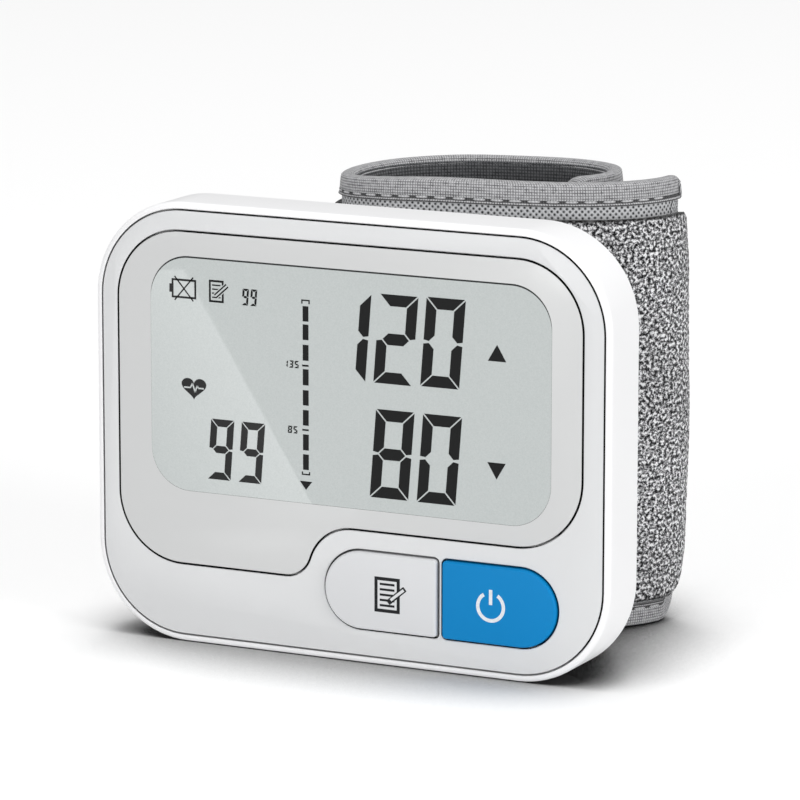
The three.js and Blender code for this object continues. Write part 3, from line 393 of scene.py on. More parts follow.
# painted shade at the tape's outer edge and in the groove under the thread
bindingTape = wovenFinish("bindingTape", paintOf(84, 84, 86), paintOf(192, 192, 194), 0.4, 0.44, 0.4,
                          paintedShadeBands=((0.02, 0.14), (0.5, 0.86)))
liningCloth = wovenFinish("liningCloth", paintOf(46, 47, 49), paintOf(104, 105, 107), 0.5, 0.5, 0.35)
seamThread = wovenFinish("seamThread", paintOf(150, 150, 152), paintOf(214, 214, 216), 0.2, 0.2, 0.5)
hookTape = wovenFinish("hookTape", paintOf(40, 41, 43), paintOf(98, 99, 101), 0.9, 0.9, 1.0, 0.0)
spacerMesh = meshFinish()
brightSteel = metalFinish("brightSteel", paintOf(196, 198, 202), (1, 1, 0.12))
screwSteel = metalFinish("screwSteel", paintOf(150, 152, 156), (1, 0.2, 1), 0.34)
boardLaminate = boardFinish()
upperJacket = jacketFinish("upperJacket", 0, 1)
lowerJacket = jacketFinish("lowerJacket", 1, 0)

# The solids that keep their own shape
screwNodes = [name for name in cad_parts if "_screw_" in name]
for nodeFinish, nodeNames in (
        (innerDark, ("lcd_holder", "memory_switch_base", "start_switch_base", "control_chip", "buzzer",
                     "pump_head", "bleed_valve", "cuff_curler", "air_nozzle")),
        (softRubber, ("zebra_strip", "air_manifold", "pump_tube", "valve_tube", "nozzle_seal")),
        (shellWhite, ("memory_switch_plunger", "start_switch_plunger", "pressure_sensor", "cuff_saddle")),
        (brightSteel, ("battery_link_plate", "battery_plus_plate", "battery_minus_plate", "pump_motor",
                       "pump_eccentric")),
        (screwSteel, screwNodes), (displayPane, ("lcd_glass",)), (reflectorWhite, ("lcd_reflector",)),
        (boardLaminate, ("circuit_board",)), (upperJacket, ("battery_1",)), (lowerJacket, ("battery_2",))):
    for nodeName in nodeNames:
        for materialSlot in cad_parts[nodeName].material_slots:
            materialSlot.material = nodeFinish
print("finishes are mixed")


# Modelling steps that several pieces share

clearFront = -1    # the depth in front of the face where cutters start
holeSides = 24
smoothAngle, clothAngle = 30, 50


def spot(x, z, depth):
    return Vector((x * mm, faceY + depth * mm, midZ + z * mm))


def clearSelection():
    if bpy.context.mode != "OBJECT":
        bpy.ops.object.mode_set(mode="OBJECT")
    bpy.ops.object.select_all(action="DESELECT")


def makeActive(piece):
    clearSelection()
    piece.select_set(True)
    bpy.context.view_layer.objects.active = piece


def turnFacesOut():
    bpy.ops.mesh.select_all(action="SELECT")
    bpy.ops.mesh.normals_make_consistent(inside=False)
    bpy.ops.object.mode_set(mode="OBJECT")


def arcOf(x, z, radius, start, end, steps):
    turns = [radians(start + (end - start) * step / steps) for step in range(steps + 1)]
    return [(x + radius * cos(turn), z + radius * sin(turn)) for turn in turns]


def boxOutline(left, right, low, high):
    return [(left, low), (right, low), (right, high), (left, high)]


# Four round corners, from the lower right one to the lower left one
def roundCorners(places, radius):
    return [point for corner, (x, z) in enumerate(places)
            for point in arcOf(x, z, radius, 90 * corner - 90, 90 * corner, 20)]


def roundedOutline(width, height, radius, x=0, z=0):
    sideX, sideZ = width / 2 - radius, height / 2 - radius
    return roundCorners([(x + sideX, z - sideZ), (x + sideX, z + sideZ), (x - sideX, z + sideZ),
                         (x - sideX, z - sideZ)], radius)


# A filled circle is laid on the first outline, then extruded from level to level
def addLevels(name, levels):
    clearSelection()
    outline, depth = levels[0]
    bpy.ops.mesh.primitive_circle_add(vertices=len(outline), radius=mm, fill_type="NGON",
                                      location=(0, 0, 0), enter_editmode=True)
    piece = bpy.context.object
    piece.name = name
    shape = bmesh.from_edit_mesh(piece.data)
    for vertex, (x, z) in zip(list(shape.verts), outline):
        vertex.co = spot(x, z, depth)
    bmesh.update_edit_mesh(piece.data)
    for nextOutline, nextDepth in levels[1:]:
        bpy.ops.mesh.extrude_region_move(
            TRANSFORM_OT_translate={"value": (0, (nextDepth - depth) * mm, 0)})
        shape = bmesh.from_edit_mesh(piece.data)
        places = [spot(x, z, nextDepth) for x, z in outline]
        for vertex in [vertex for vertex in shape.verts if vertex.select]:
            nearest = min(range(len(places)), key=lambda index: (places[index] - vertex.co).length)
            vertex.co = spot(*nextOutline[nearest], nextDepth)
        bmesh.update_edit_mesh(piece.data)
        outline, depth = nextOutline, nextDepth
    turnFacesOut()
    return piece


def addPlate(outline, front, back, name="plate"):
    return addLevels(name, [(outline, front), (outline, back)])


def addBlock(left, right, low, high, front, back):
    return addPlate(boxOutline(left, right, low, high), front, back)


def addBar(radius, x, z, front, back, sides=40):
    return addPlate(arcOf(x, z, radius, 0, 360 - 360 / sides, sides - 1), front, back)


# A piece whose front edge is rounded, from the flat face to the side wall
def addRounded(name, outlineAt, radius, front, back, steps):
    turns = [pi / 2 * (1 - step / steps) for step in range(steps + 1)]
    return addLevels(name, [(outlineAt(radius * (1 - cos(turn))), front + radius * (1 - sin(turn)))
                            for turn in turns] + [(outlineAt(0), back)])


# A cutter whose mouth widens at the front face, so that the edge it leaves is eased
def easedCutter(outlineAt, ease, back):
    return addLevels("cutter", [(outlineAt(ease), clearFront), (outlineAt(ease), 0), (outlineAt(0), ease),
                                (outlineAt(0), back)])


def combine(piece, others, operation):
    for other in others:
        makeActive(piece)
        step = piece.modifiers.new("combine", "BOOLEAN")
        step.object = other
        step.operation = operation
        step.solver = "EXACT"
        bpy.ops.object.modifier_apply(modifier=step.name)
        bpy.data.objects.remove(other, do_unlink=True)
    return piece


def addTo(piece, *others):
    return combine(piece, others, "UNION")


def cutAway(piece, *cutters):
    return combine(piece, cutters, "DIFFERENCE")


# A post with a screw hole, on each of its places
def addPosts(piece, places, radius, hole, front, back):
    for x, z in places:
        addTo(piece, addBar(radius, x, z, front, back))
        cutAway(piece, addBar(hole, x, z, front + 1, back + 1, holeSides))


def joinPieces(name, pieces):
    makeActive(pieces[0])
    for piece in pieces:
        piece.select_set(True)
    if len(pieces) > 1:
        bpy.ops.object.join()
    joined = bpy.context.object
    joined.name = name
    return joined


def finishPiece(piece, finish, body, replaced=(), smooth=smoothAngle):
    makeActive(piece)
    bpy.ops.object.shade_smooth_by_angle(angle=radians(smooth))
    piece.data.name = piece.name
    piece.data.materials.clear()
    piece.data.materials.append(finish)
    if body:
        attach(piece, body)
    if replaced:
        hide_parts(*replaced)
    return piece


# Front shell

shell = {"width": 86, "height": 68, "corner": 15, "depth": 9.7, "edge": 0.9, "rim": 1, "wall": 1.8,
         "webFront": 1.6, "webBack": 3.1, "webPast": 5, "lip": 0.1, "postFront": 2.35}
glassOpening = {"left": -34.5, "right": 34.5, "low": -11.4, "high": 26.7}
screwBoss = {"places": [(38.4, 24), (-38.4, 24), (-38.4, -24), (38.4, -24)], "radius": 2.6, "hole": 1.35,
             "back": shell["depth"]}
boardPost = {"places": [(-24, -21), (0, 29.4)], "radius": 2, "hole": 1.05, "back": 7.3}


def caseOutline(inset):
    return roundedOutline(shell["width"] - 2 * inset, shell["height"] - 2 * inset, shell["corner"] - inset)


def makeFrontShell():
    piece = addRounded("frontShell", caseOutline, shell["edge"], 0, shell["depth"], 7)
    cutAway(
        piece,
        easedCutter(lambda ease: caseOutline(shell["rim"] - ease), shell["lip"], shell["webFront"]),
        addPlate(caseOutline(shell["wall"]), shell["webBack"], shell["depth"] + 1),
        addBlock(**glassOpening, front=clearFront, back=shell["webPast"]),
        *[addPlate(keyOutline(side, pill["gap"], pill["gap"]), clearFront, shell["webPast"])
          for side in (1, -1)],
    )
    for posts in (screwBoss, boardPost):
        addPosts(piece, front=shell["postFront"], **posts)
    finishPiece(piece, shellWhite, fixedBody, ["front_cover"])


# Keys: a pill split in two

pill = {"x": 15.45, "z": -22.65, "width": 38.2, "height": 11.9, "split": 0.475, "splitRadius": 0.6,
        "gap": 0.3, "proud": 0.6, "edge": 0.4, "flange": 0.8, "flangeFront": 3.4, "flangeBack": 4.2,
        "stem": 1.5, "stemX": 9.932, "stemBack": 4.4}


def keyOutline(side, grow, splitGrow):
    radius = pill["height"] / 2 + grow
    inner = pill["split"] - splitGrow
    small = pill["splitRadius"] + splitGrow
    half = pill["width"] / 2 - pill["height"] / 2
    outline = (arcOf(inner + small, small - radius, small, 180, 270, 6)
               + arcOf(half, 0, radius, -90, 90, 40)
               + arcOf(inner + small, radius - small, small, 90, 180, 6))
    return [(pill["x"] + side * x, pill["z"] + z) for x, z in outline]


def makeKey(name, side, finish, body, replaced):
    piece = addRounded(name, lambda inset: keyOutline(side, -inset, -inset), pill["edge"], -pill["proud"],
                       pill["flangeBack"], 5)
    addTo(piece, addPlate(keyOutline(side, pill["flange"], 0), pill["flangeFront"], pill["flangeBack"]),
          addBar(pill["stem"], pill["x"] + side * pill["stemX"], pill["z"], pill["flangeFront"],
                 pill["stemBack"]))
    finishPiece(piece, finish, body, [replaced])


# Face plate and lens

lens = {"left": -38.95, "right": 38.3, "top": 29.5, "low": -21.65, "high": -13.4, "corner": 10.6,
        "stepX": -10.6, "lowRadius": 4.3, "highRadius": 7.6, "groove": 0.3, "thickness": 1.3,
        "ease": 0.12}
plate = {"inset": 1.28, "thickness": 1.3, "ease": 0.1, "past": 3}


def lensOutline(grow):
    left, right, top = lens["left"] - grow, lens["right"] + grow, lens["top"] + grow
    low, high = lens["low"] - grow, lens["high"] - grow
    radius = lens["corner"] + grow
    lowRadius, highRadius = lens["lowRadius"] + grow, lens["highRadius"] - grow
    drop = high - highRadius - low - lowRadius
    run = sqrt((lowRadius + highRadius) ** 2 - drop ** 2)
    slope = degrees(atan2(drop, run))
    return (arcOf(lens["stepX"], low + lowRadius, lowRadius, -90, slope, 14)
            + arcOf(lens["stepX"] + run, high - highRadius, highRadius, 180 + slope, 90, 16)[1:]
            + roundCorners([(right - radius, high + radius), (right - radius, top - radius),
                            (left + radius, top - radius), (left + radius, low + radius)], radius))


# Walls that stand in a groove get painted shade, so that the groove draws its line
def paintGrooveShade(piece):
    piece.data.materials.append(grooveShadePaint)
    for face in piece.data.polygons:
        if abs(face.normal.y) < 0.3:
            face.material_index = 1


def makeFacePlate():
    ease, past, gap = plate["ease"], plate["past"], pill["gap"]
    piece = addRounded("facePlate", lambda inset: caseOutline(plate["inset"] + inset), ease, 0,
                       plate["thickness"], 2)
    cutAway(
        piece,
        easedCutter(lambda grow: lensOutline(lens["groove"] + grow), ease, past),
        *[easedCutter(lambda grow: keyOutline(side, gap + grow, gap + grow * 0.4), ease, past)
          for side in (1, -1)],
    )
    finishPiece(piece, panelGrey, fixedBody, ["face_panel"])
    paintGrooveShade(piece)


def makeLens():
    piece = addRounded("displayLens", lambda inset: lensOutline(-inset), lens["ease"], 0,
                       lens["thickness"], 3)
    finishPiece(piece, lensBorder, fixedBody, ["display_lens"])
    paintGrooveShade(piece)


# What shows in the lens lies on it in very thin plates, each a layer nearer than the last

layerStep = 0.012
printDepth = 0.05
window = {"width": 66.8, "height": 35.9, "radius": 6.5, "x": 0, "z": 7.65}
windowShade = {"side": 0.02, "above": 0.26, "below": 0.04}    # painted shadow of the window's recess, a dark line chiefly along the upper edge
windowBack = 0.1


def addWindow():
    side, above, below = windowShade["side"], windowShade["above"], windowShade["below"]
    shade = dict(window, width=window["width"] + 2 * side, height=window["height"] + above + below,
                 z=window["z"] + (above - below) / 2)
    for layer, (name, finish, size) in enumerate((("windowShadowLine", windowRecessShadow, shade),
                                                  ("displayWindow", displayPane, window)), 1):
        piece = addPlate(roundedOutline(**size), -layer * layerStep, windowBack, name)
        finishPiece(piece, finish, fixedBody)


def addPrint(name, outlines, layer=3, finish=liquidBlack, body=fixedBody, slotName="display", face=0):
    front = face - layer * layerStep
    plates = [addPlate(outline, front, front + printDepth, name) for outline in outlines]
    finishPiece(joinPieces(name, plates), finish, body)


def barBetween(start, end, width):
    start, end = Vector(start), Vector(end)
    along = (end - start).normalized()
    across = Vector((-along.y, along.x)) * width / 2
    return [tuple(point) for point in (start - across, end - across, end + across, start + across)]


def boxBars(left, right, low, high, width):
    half = width / 2
    return [boxOutline(left - half, right + half, low - half, low + half),
            boxOutline(left - half, right + half, high - half, high + half),
            boxOutline(left - half, left + half, low + half, high - half),
            boxOutline(right - half, right + half, low + half, high - half)]


# Seven-segment figures

segmentsOf = {"0": "abcdef", "1": "bc", "2": "abged", "3": "abgcd", "5": "afgcd", "8": "abcdefg",
              "9": "abcdfg"}
slant = tan(radians(4.5))
digitSizes = {"large": {"width": 6.4, "height": 13.5, "stroke": 1.75, "gap": 0.22},
              "pulse": {"width": 3.98, "height": 9.35, "stroke": 1.14, "gap": 0.16},
              "record": {"width": 1.08, "height": 2.55, "stroke": 0.35, "gap": 0.06},
              "tick": {"width": 0.7, "height": 1.12, "stroke": 0.23, "gap": 0.03}}
figures = {
    "highReading": {"text": "120", "size": "large", "x": -3.45, "z": 9.05, "pitch": 7.75, "rise": 0.15},
    "lowReading": {"text": "80", "size": "large", "x": 3.7, "z": -8.25, "pitch": 7.8},
    "pulseReading": {"text": "99", "size": "pulse", "x": -23.85, "z": -8.1, "pitch": 5.25},
    "recordNumber": {"text": "99", "size": "record", "x": -17.8, "z": 19.1, "pitch": 1.4},
    "upperTickNumber": {"text": "135", "size": "tick", "x": -10.75, "z": 10.25, "pitch": 0.92},
    "lowerTickNumber": {"text": "85", "size": "tick", "x": -10.07, "z": 0.25, "pitch": 0.92},
}


def segmentOutlines(width, height, stroke, gap):
    cut, mid, half = gap * 0.7, height / 2, stroke / 2
    far = width - stroke - cut
    shapes = {
        "a": [(cut, height), (width - cut, height), (far, height - stroke),
              (stroke + cut, height - stroke)],
        "f": [(0, height - cut), (stroke, height - stroke - cut), (stroke, mid + half + cut),
              (half, mid + cut), (0, mid + half * 0.35)],
        "g": [(half + cut, mid), (stroke + cut, mid + half), (far, mid + half), (width - half - cut, mid),
              (far, mid - half), (stroke + cut, mid - half)]}
    for upper, lower in ("ad", "fe"):
        shapes[lower] = [(x, height - z) for x, z in shapes[upper]]
    for left, right in ("fb", "ec"):
        shapes[right] = [(width - x, z) for x, z in shapes[left]]
    return shapes


def addFigure(name, text, size, x, z, pitch, rise=0):
    shapes = segmentOutlines(**digitSizes[size])
    addPrint(name, [[(x + place * pitch + px + slant * pz, z + place * rise + pz)
                     for px, pz in shapes[segment]]
                    for place, digit in enumerate(text) for segment in segmentsOf[digit]])


# Scale of bars with two ticks, a cap at each end and a pointer under it

scaleBar = {"x": -7, "width": 0.98, "tick": 0.28, "tickLeft": -7.6, "capWall": 0.22,
            "bars": [(17.48, 19.8), (14.67, 17.03), (11.52, 13.93), (7.77, 10.22), (4.69, 7.02),
                     (1.62, 3.99), (-2.17, 0.26), (-5.17, -2.79)],
            "ticks": [10.62, 0.8], "caps": [(20.15, 20.8), (-5.98, -5.45)],
            "pointer": [(-8.05, -6.92), (-5.95, -6.92), (-7, -8.25)]}


def addScale():
    left, right = scaleBar["x"] - scaleBar["width"] / 2, scaleBar["x"] + scaleBar["width"] / 2
    outlines = [boxOutline(left, right, low, high) for low, high in scaleBar["bars"]]
    outlines += [boxOutline(scaleBar["tickLeft"], right, z, z + scaleBar["tick"])
                 for z in scaleBar["ticks"]]
    wall = scaleBar["capWall"]
    for (low, high), shut in zip(scaleBar["caps"], (1, 0)):
        bar = high if shut else low
        outlines += [boxOutline(left - wall, left, low, high), boxOutline(right, right + wall, low, high),
                     boxOutline(left, right, bar - wall * shut, bar + wall * (1 - shut))]
    addPrint("readingScale", outlines + [scaleBar["pointer"]])


# Symbols: an empty battery, a page with a pencil, a heart, and an arrow beside each reading

symbolLine = 0.32
batterySign = {"left": -29.6, "right": -25.7, "low": 19.5, "high": 22.15}
batteryTip = {"length": 0.55, "half": 0.65}
batteryCross = {"inset": 0.35, "past": 0.5, "width": 0.7 * symbolLine}
pageSign = {"left": -23.2, "right": -21.0, "low": 19.3, "high": 22.4, "line": symbolLine, "rows": 4}
pencils = {"tip": (0.95, 0.8), "end": (0.75, -0.55),    # from the page's low left and high right corners
           "layers": {"recordPencilGap": (1.0, displayPane), "recordPencilEdge": (0.72, liquidBlack),
                      "recordPencil": (0.26, displayPane)}}
heartSign = {"x": -26.05, "z": 5.81, "wide": 0.133, "tall": 0.1135}
heartBeat = {"width": 0.22, "points": [(-1.7, -0.1), (-0.6, -0.1), (-0.25, 0.6), (0.2, -0.75), (0.55, 0.25),
                                       (0.8, -0.1), (1.7, -0.1)]}
arrow = {"x": 24.6, "half": 1.5, "base": 1.1, "tip": 1.4,
         "places": {"upArrow": (15.2, 1), "downArrow": (-2.2, -1)}}


def pageOutlines(left, right, low, high, line, rows):
    outlines = boxBars(left, right, low, high, line)
    inner = line * 1.2
    for row in range(rows):
        z = high - (row + 1) * (high - low) / (rows + 1)
        outlines.append(boxOutline(left + inner, right - inner, z - line / 3, z + line / 3))
    return outlines


def pencilEnds(page, tip, end):
    return (page["left"] + tip[0], page["low"] + tip[1]), (page["right"] + end[0], page["high"] + end[1])


def heartOutline(x, z, wide, tall, points=48):
    turns = [tau * step / points for step in range(points)]
    return [(x + wide * 16 * sin(turn) ** 3,
             z + tall * (13 * cos(turn) - 5 * cos(2 * turn) - 2 * cos(3 * turn)
                         - cos(4 * turn))) for turn in turns]


def addSymbols():
    left, low, high = batterySign["left"], batterySign["low"], batterySign["high"]
    middle, half = (low + high) / 2, batteryTip["half"]
    crossLeft, crossRight = left + batteryCross["inset"], batterySign["right"] - batteryCross["inset"]
    crossLow, crossHigh = low - batteryCross["past"], high + batteryCross["past"]
    addPrint("emptyBatterySign", boxBars(**batterySign, width=symbolLine) + [
        boxOutline(left - batteryTip["length"], left - symbolLine / 2, middle - half, middle + half),
        barBetween((crossLeft, crossLow), (crossRight, crossHigh), batteryCross["width"]),
        barBetween((crossLeft, crossHigh), (crossRight, crossLow), batteryCross["width"]),
    ])
    addPrint("recordSign", pageOutlines(**pageSign))
    tip, end = pencilEnds(pageSign, pencils["tip"], pencils["end"])
    for layer, (name, (width, finish)) in enumerate(pencils["layers"].items(), 4):
        addPrint(name, [barBetween(tip, end, width)], layer, finish)
    addPrint("heartSign", [heartOutline(**heartSign)])
    beat = [(heartSign["x"] + x, heartSign["z"] + z) for x, z in heartBeat["points"]]
    addPrint("heartBeatLine", [barBetween(start, end, heartBeat["width"])
                               for start, end in zip(beat, beat[1:])], 4, displayPane)
    for name, (z, way) in arrow["places"].items():
        base = z - arrow["base"] * way
        addPrint(name, [[(arrow["x"] - arrow["half"], base), (arrow["x"] + arrow["half"], base),
                         (arrow["x"], z + arrow["tip"] * way)]])


# Signs on the keys: a page with a pencil, and a power mark

keyPage = {"left": 5.04, "right": 8.75, "low": -25.34, "high": -20.45, "line": 0.52, "rows": 5}
keyPencil = {"tip": (2, 1.3), "end": (1.1, -1.2), "fillTip": (2.45, 1.75), "fillEnd": (0.9, -1.4),
             "edgeWidth": 0.85, "fillWidth": 0.42}
powerSign = {"x": 24, "z": -22.85, "radius": 2.1, "line": 0.55, "mouth": 32, "strokeLow": 0.3,
             "strokePast": 0.5}


def addKeySigns():
    onGreyKey = {"body": "memory_key", "slotName": "white_shell", "face": -pill["proud"]}
    addPrint("recordKeySign", pageOutlines(**keyPage), 1, printBlack, **onGreyKey)
    edge = pencilEnds(keyPage, keyPencil["tip"], keyPencil["end"])
    fill = pencilEnds(keyPage, keyPencil["fillTip"], keyPencil["fillEnd"])
    addPrint("pencilEdge", [barBetween(*edge, keyPencil["edgeWidth"])], 2, printBlack, **onGreyKey)
    addPrint("pencilFill", [barBetween(*fill, keyPencil["fillWidth"])], 3, keyGrey, **onGreyKey)
    x, z, radius, mouth = (powerSign[part] for part in ("x", "z", "radius", "mouth"))
    half = powerSign["line"] / 2
    outer = arcOf(x, z, radius + half, 90 + mouth, 450 - mouth, 40)
    inner = arcOf(x, z, radius - half, 450 - mouth, 90 + mouth, 40)
    stroke = boxOutline(x - half, x + half, z + powerSign["strokeLow"],
                        z + radius + powerSign["strokePast"])
    addPrint("powerKeySign", [outer + inner, stroke], 1, printWhite, "start_key", "blue_cap",
             -pill["proud"])


makeFrontShell()
print("front shell is modelled")
makeFacePlate()
makeLens()
makeKey("recordKey", -1, keyGrey, "memory_key", "memory_button")
makeKey("powerKey", 1, keyBlue, "start_key", "start_button")
print("face plate, lens and keys are modelled")
addWindow()
for name, figure in figures.items():
    addFigure(name, **figure)
addScale()
addSymbols()
addKeySigns()
print("display and key signs are laid on")


# Rear shell with the battery bay, and the sliding battery cover

rear = {"front": 10, "depth": 24.6, "step": 0.8, "sideTaper": 8.2, "endTaper": 6.2, "corner": 9,
        "edge": 1.4, "wall": 1.8, "well": 2.3, "wellWall": 3.2, "wellFront": 11.4, "screwHole": 1.35,
        "ahead": 8, "past": 26}    # ahead and past are depths clear of the shell, where cutters end
bay = {"left": -32.6, "right": -10.4, "half": 23.35, "wall": 1.2, "floor": 10.4, "sunk": 0.9}
cover = {"right": -9.7, "half": 24.05, "front": 22.7, "tongue": 1, "tongueDepth": 0.8, "gap": 0.3,
         "past": -60}
coverRib = {"count": 4, "pitch": 1.6, "width": 0.7, "height": 0.4, "half": 7, "inset": 5, "bevel": 0.2}
airHole = {"radius": 2.3, "x": 8, "z": 12}
saddleHoles = {"places": [(14.6, 21), (14.6, -21)], "radius": 1.25}


def rearOutline(depth, inset):
    share = min((depth - rear["front"]) / (rear["depth"] - rear["edge"] - rear["front"]), 1)
    side = rear["step"] + share * rear["sideTaper"] + inset
    end = rear["step"] + share * rear["endTaper"] + inset
    first = shell["corner"] - rear["step"]
    radius = first + share * (rear["corner"] - first) - inset
    return roundedOutline(shell["width"] - 2 * side, shell["height"] - 2 * end, radius)


def rearHull(ahead=0, name="hull"):
    levels = [(rearOutline(rear["front"], 0), rear["front"] - ahead)]
    for step in range(7):
        turn = pi / 2 * step / 6
        depth = rear["depth"] - rear["edge"] * (1 - sin(turn))
        levels.append((rearOutline(depth, rear["edge"] * (1 - cos(turn))), depth))
    return addLevels(name, levels)


def coverBlock(grow, front, back, shift=0, name="block"):
    half = cover["half"] + grow
    return addPlate(boxOutline(cover["past"], cover["right"] + grow + shift, -half, half), front, back,
                    name)


def makeRearShell():
    piece = rearHull(name="rearShell")
    innerDepth = rear["depth"] - rear["wall"]
    mouth = rearOutline(rear["front"], rear["wall"])
    wall, gap, past = bay["wall"], cover["gap"], rear["past"]
    cutAway(piece, addLevels("hollow", [(mouth, rear["front"] - 1), (mouth, rear["front"]),
                                        (rearOutline(innerDepth, rear["wall"]), innerDepth)]))
    addTo(piece, addBlock(bay["left"] - wall, bay["right"] + wall, -bay["half"] - wall, bay["half"] + wall,
                          bay["floor"], innerDepth + bay["sunk"]))
    for x, z in screwBoss["places"]:
        post = addBar(rear["wellWall"], x, z, rear["front"], rear["depth"] + 2)
        addTo(piece, combine(post, [rearHull(1)], "INTERSECT"))
    grooveFront, grooveBack = cover["front"] - gap, cover["front"] + cover["tongueDepth"] + gap
    cutAway(
        piece,
        addBlock(bay["left"], bay["right"], -bay["half"], bay["half"], bay["floor"] + wall, past),
        coverBlock(gap, grooveFront, past),
        coverBlock(gap + cover["tongue"], grooveFront, grooveBack, -cover["tongue"]),
        addBar(**airHole, front=rear["front"], back=past),
    )
    for x, z in screwBoss["places"]:
        cutAway(piece, addBar(rear["well"], x, z, rear["wellFront"], past),
                addBar(rear["screwHole"], x, z, rear["ahead"], past, holeSides))
    for x, z in saddleHoles["places"]:
        cutAway(piece, addBar(saddleHoles["radius"], x, z, rear["front"], past, holeSides))
    finishPiece(piece, shellWhite, fixedBody, ["rear_cover"])


def makeBatteryCover():
    piece = coverBlock(0, cover["front"], rear["depth"], name="batteryCover")
    addTo(piece, coverBlock(cover["tongue"], cover["front"], cover["front"] + cover["tongueDepth"],
                            -cover["tongue"]))
    combine(piece, [rearHull()], "INTERSECT")
    width, half, bevel = coverRib["width"], coverRib["half"], coverRib["bevel"]
    for rib in range(coverRib["count"]):
        x = bay["left"] + coverRib["inset"] + rib * coverRib["pitch"]
        ridge = boxOutline(x, x + width, -half, half)
        top = boxOutline(x + bevel, x + width - bevel, bevel - half, half - bevel)
        addTo(piece, addLevels("rib", [(ridge, rear["depth"] - 1), (ridge, rear["depth"] + bevel),
                                       (top, rear["depth"] + coverRib["height"])]))
    finishPiece(piece, shellWhite, "battery_cover", ["battery_door"])


makeRearShell()
makeBatteryCover()
print("rear shell and battery cover are modelled")


# The cuff: a band of plies bound with tape, wrapped once round the wrist opening

cuff = {"height": 69.7, "length": 36.8, "width": 21.2, "square": 2.2, "x": 1.5, "depth": 43.3, "turn": 18,
        "swell": 0.8, "lift": 10, "rampStart": 247.5, "rampEnd": 360, "split": 270, "root": 322.5,
        "rootOffset": 2.2, "rootReach": 3, "wave": 0.2, "waveAngle": 24, "waveHeight": 16,
        "heldAngle": 50, "bulge": 0.45, "bulgeAngle": 40, "worn": 1.2}
pinch = {"reach": 4.6, "power": 1.5, "all": 0.12, "side": 0.42, "back": 0.5, "core": 3.3,
         "backCore": 0.4}
# The free end lies outside, the inner end under it. A corner is its height and length, and degree is the
# length of one degree round the band there.
freeEnd = {"angle": 350.25, "way": 1, "degree": 0.496, "low": (6.5, 5), "high": (0.9, 0.8)}
innerEnd = {"angle": -45, "way": -1, "degree": 0.4, "low": (2, 3), "high": (2, 3)}


def cuffPoint(angle, offset, height):
    share = min(max((angle - cuff["rampStart"]) / (cuff["rampEnd"] - cuff["rampStart"]), 0), 1)
    lift = cuff["lift"] * share * share * (3 - 2 * share)
    rise = 1 - (2 * height / cuff["height"] - 1) ** 2
    reach = offset + lift + rise * cuff["swell"]
    turn = radians(angle)
    power = 2 / cuff["square"]
    across = copysign(abs(cos(turn)) ** power, cos(turn)) * (cuff["length"] / 2 + reach)
    back = copysign(abs(sin(turn)) ** power, sin(turn)) * (cuff["width"] / 2 + reach)
    tilt = radians(cuff["turn"])
    x = cuff["x"] + across * cos(tilt) - back * sin(tilt)
    depth = cuff["depth"] + across * sin(tilt) + back * cos(tilt)
    return Vector((x * mm, faceY + depth * mm, height * mm))


# Slow waves in the band, which die away where the saddle holds it
def waveAt(angle, height):
    held = min(abs(angle - cuff["split"]) / cuff["heldAngle"], 1)
    place = Vector((angle / cuff["waveAngle"], height / cuff["waveHeight"], 0))
    return cuff["wave"] * held * noise.noise(place)


# Towards its bound edges the band thins: at the back its outside is drawn in, at the two ends its inside
# is pushed out. Its free side bulges a little, and its left end is worn down at the top.
def bandPoint(angle, offset, height):
    turn = radians(angle)
    side, back = cos(turn) ** 2, max(sin(turn), 0) ** 2
    away = min(height, cuff["height"] - height)
    near = max(1 - away / pinch["reach"], 0) ** pinch["power"]
    share = pinch["all"] + pinch["side"] * side + pinch["back"] * back
    core = pinch["core"] + (pinch["backCore"] - pinch["core"]) * back
    thinned = offset + (core - offset) * share * near
    upper = 2 * height / cuff["height"] - 1
    free = min(max((angle - cuff["split"]) / cuff["bulgeAngle"], 0), 1)
    worn = cuff["worn"] * max(-cos(turn), 0) ** 2 * max(upper, 0) ** 3
    return cuffPoint(angle, thinned + cuff["bulge"] * free * (1 - upper ** 2) + waveAt(angle, height),
                     height - worn)


# A grid becomes cloth: each vertex is placed on the band, and its UVs are millimetres along and across.
# Returns the piece, and how far round the band it ends.
def addCloth(name, columns, rows, placeAt, thickness, lengthAt=0.0):
    clearSelection()
    bpy.ops.mesh.primitive_grid_add(x_subdivisions=columns, y_subdivisions=rows, size=1,
                                    location=(0, 0, 0), calc_uvs=True)
    piece = bpy.context.object
    piece.name = name
    across = []
    for vertex in piece.data.vertices:
        vertex.co, height = placeAt(vertex)
        across.append(height)
    first = (rows // 2) * (columns + 1)
    middle = [vertex.co for vertex in piece.data.vertices[first:first + columns + 1]]
    lengths = [lengthAt]
    for here, there in zip(middle, middle[1:]):
        lengths.append(lengths[-1] + (there - here).length / mm)
    for corner in piece.data.loops:
        index = corner.vertex_index
        piece.data.uv_layers[0].data[corner.index].uv = (lengths[index % (columns + 1)], across[index])
    thicken(piece, thickness)
    return piece, lengths[-1]


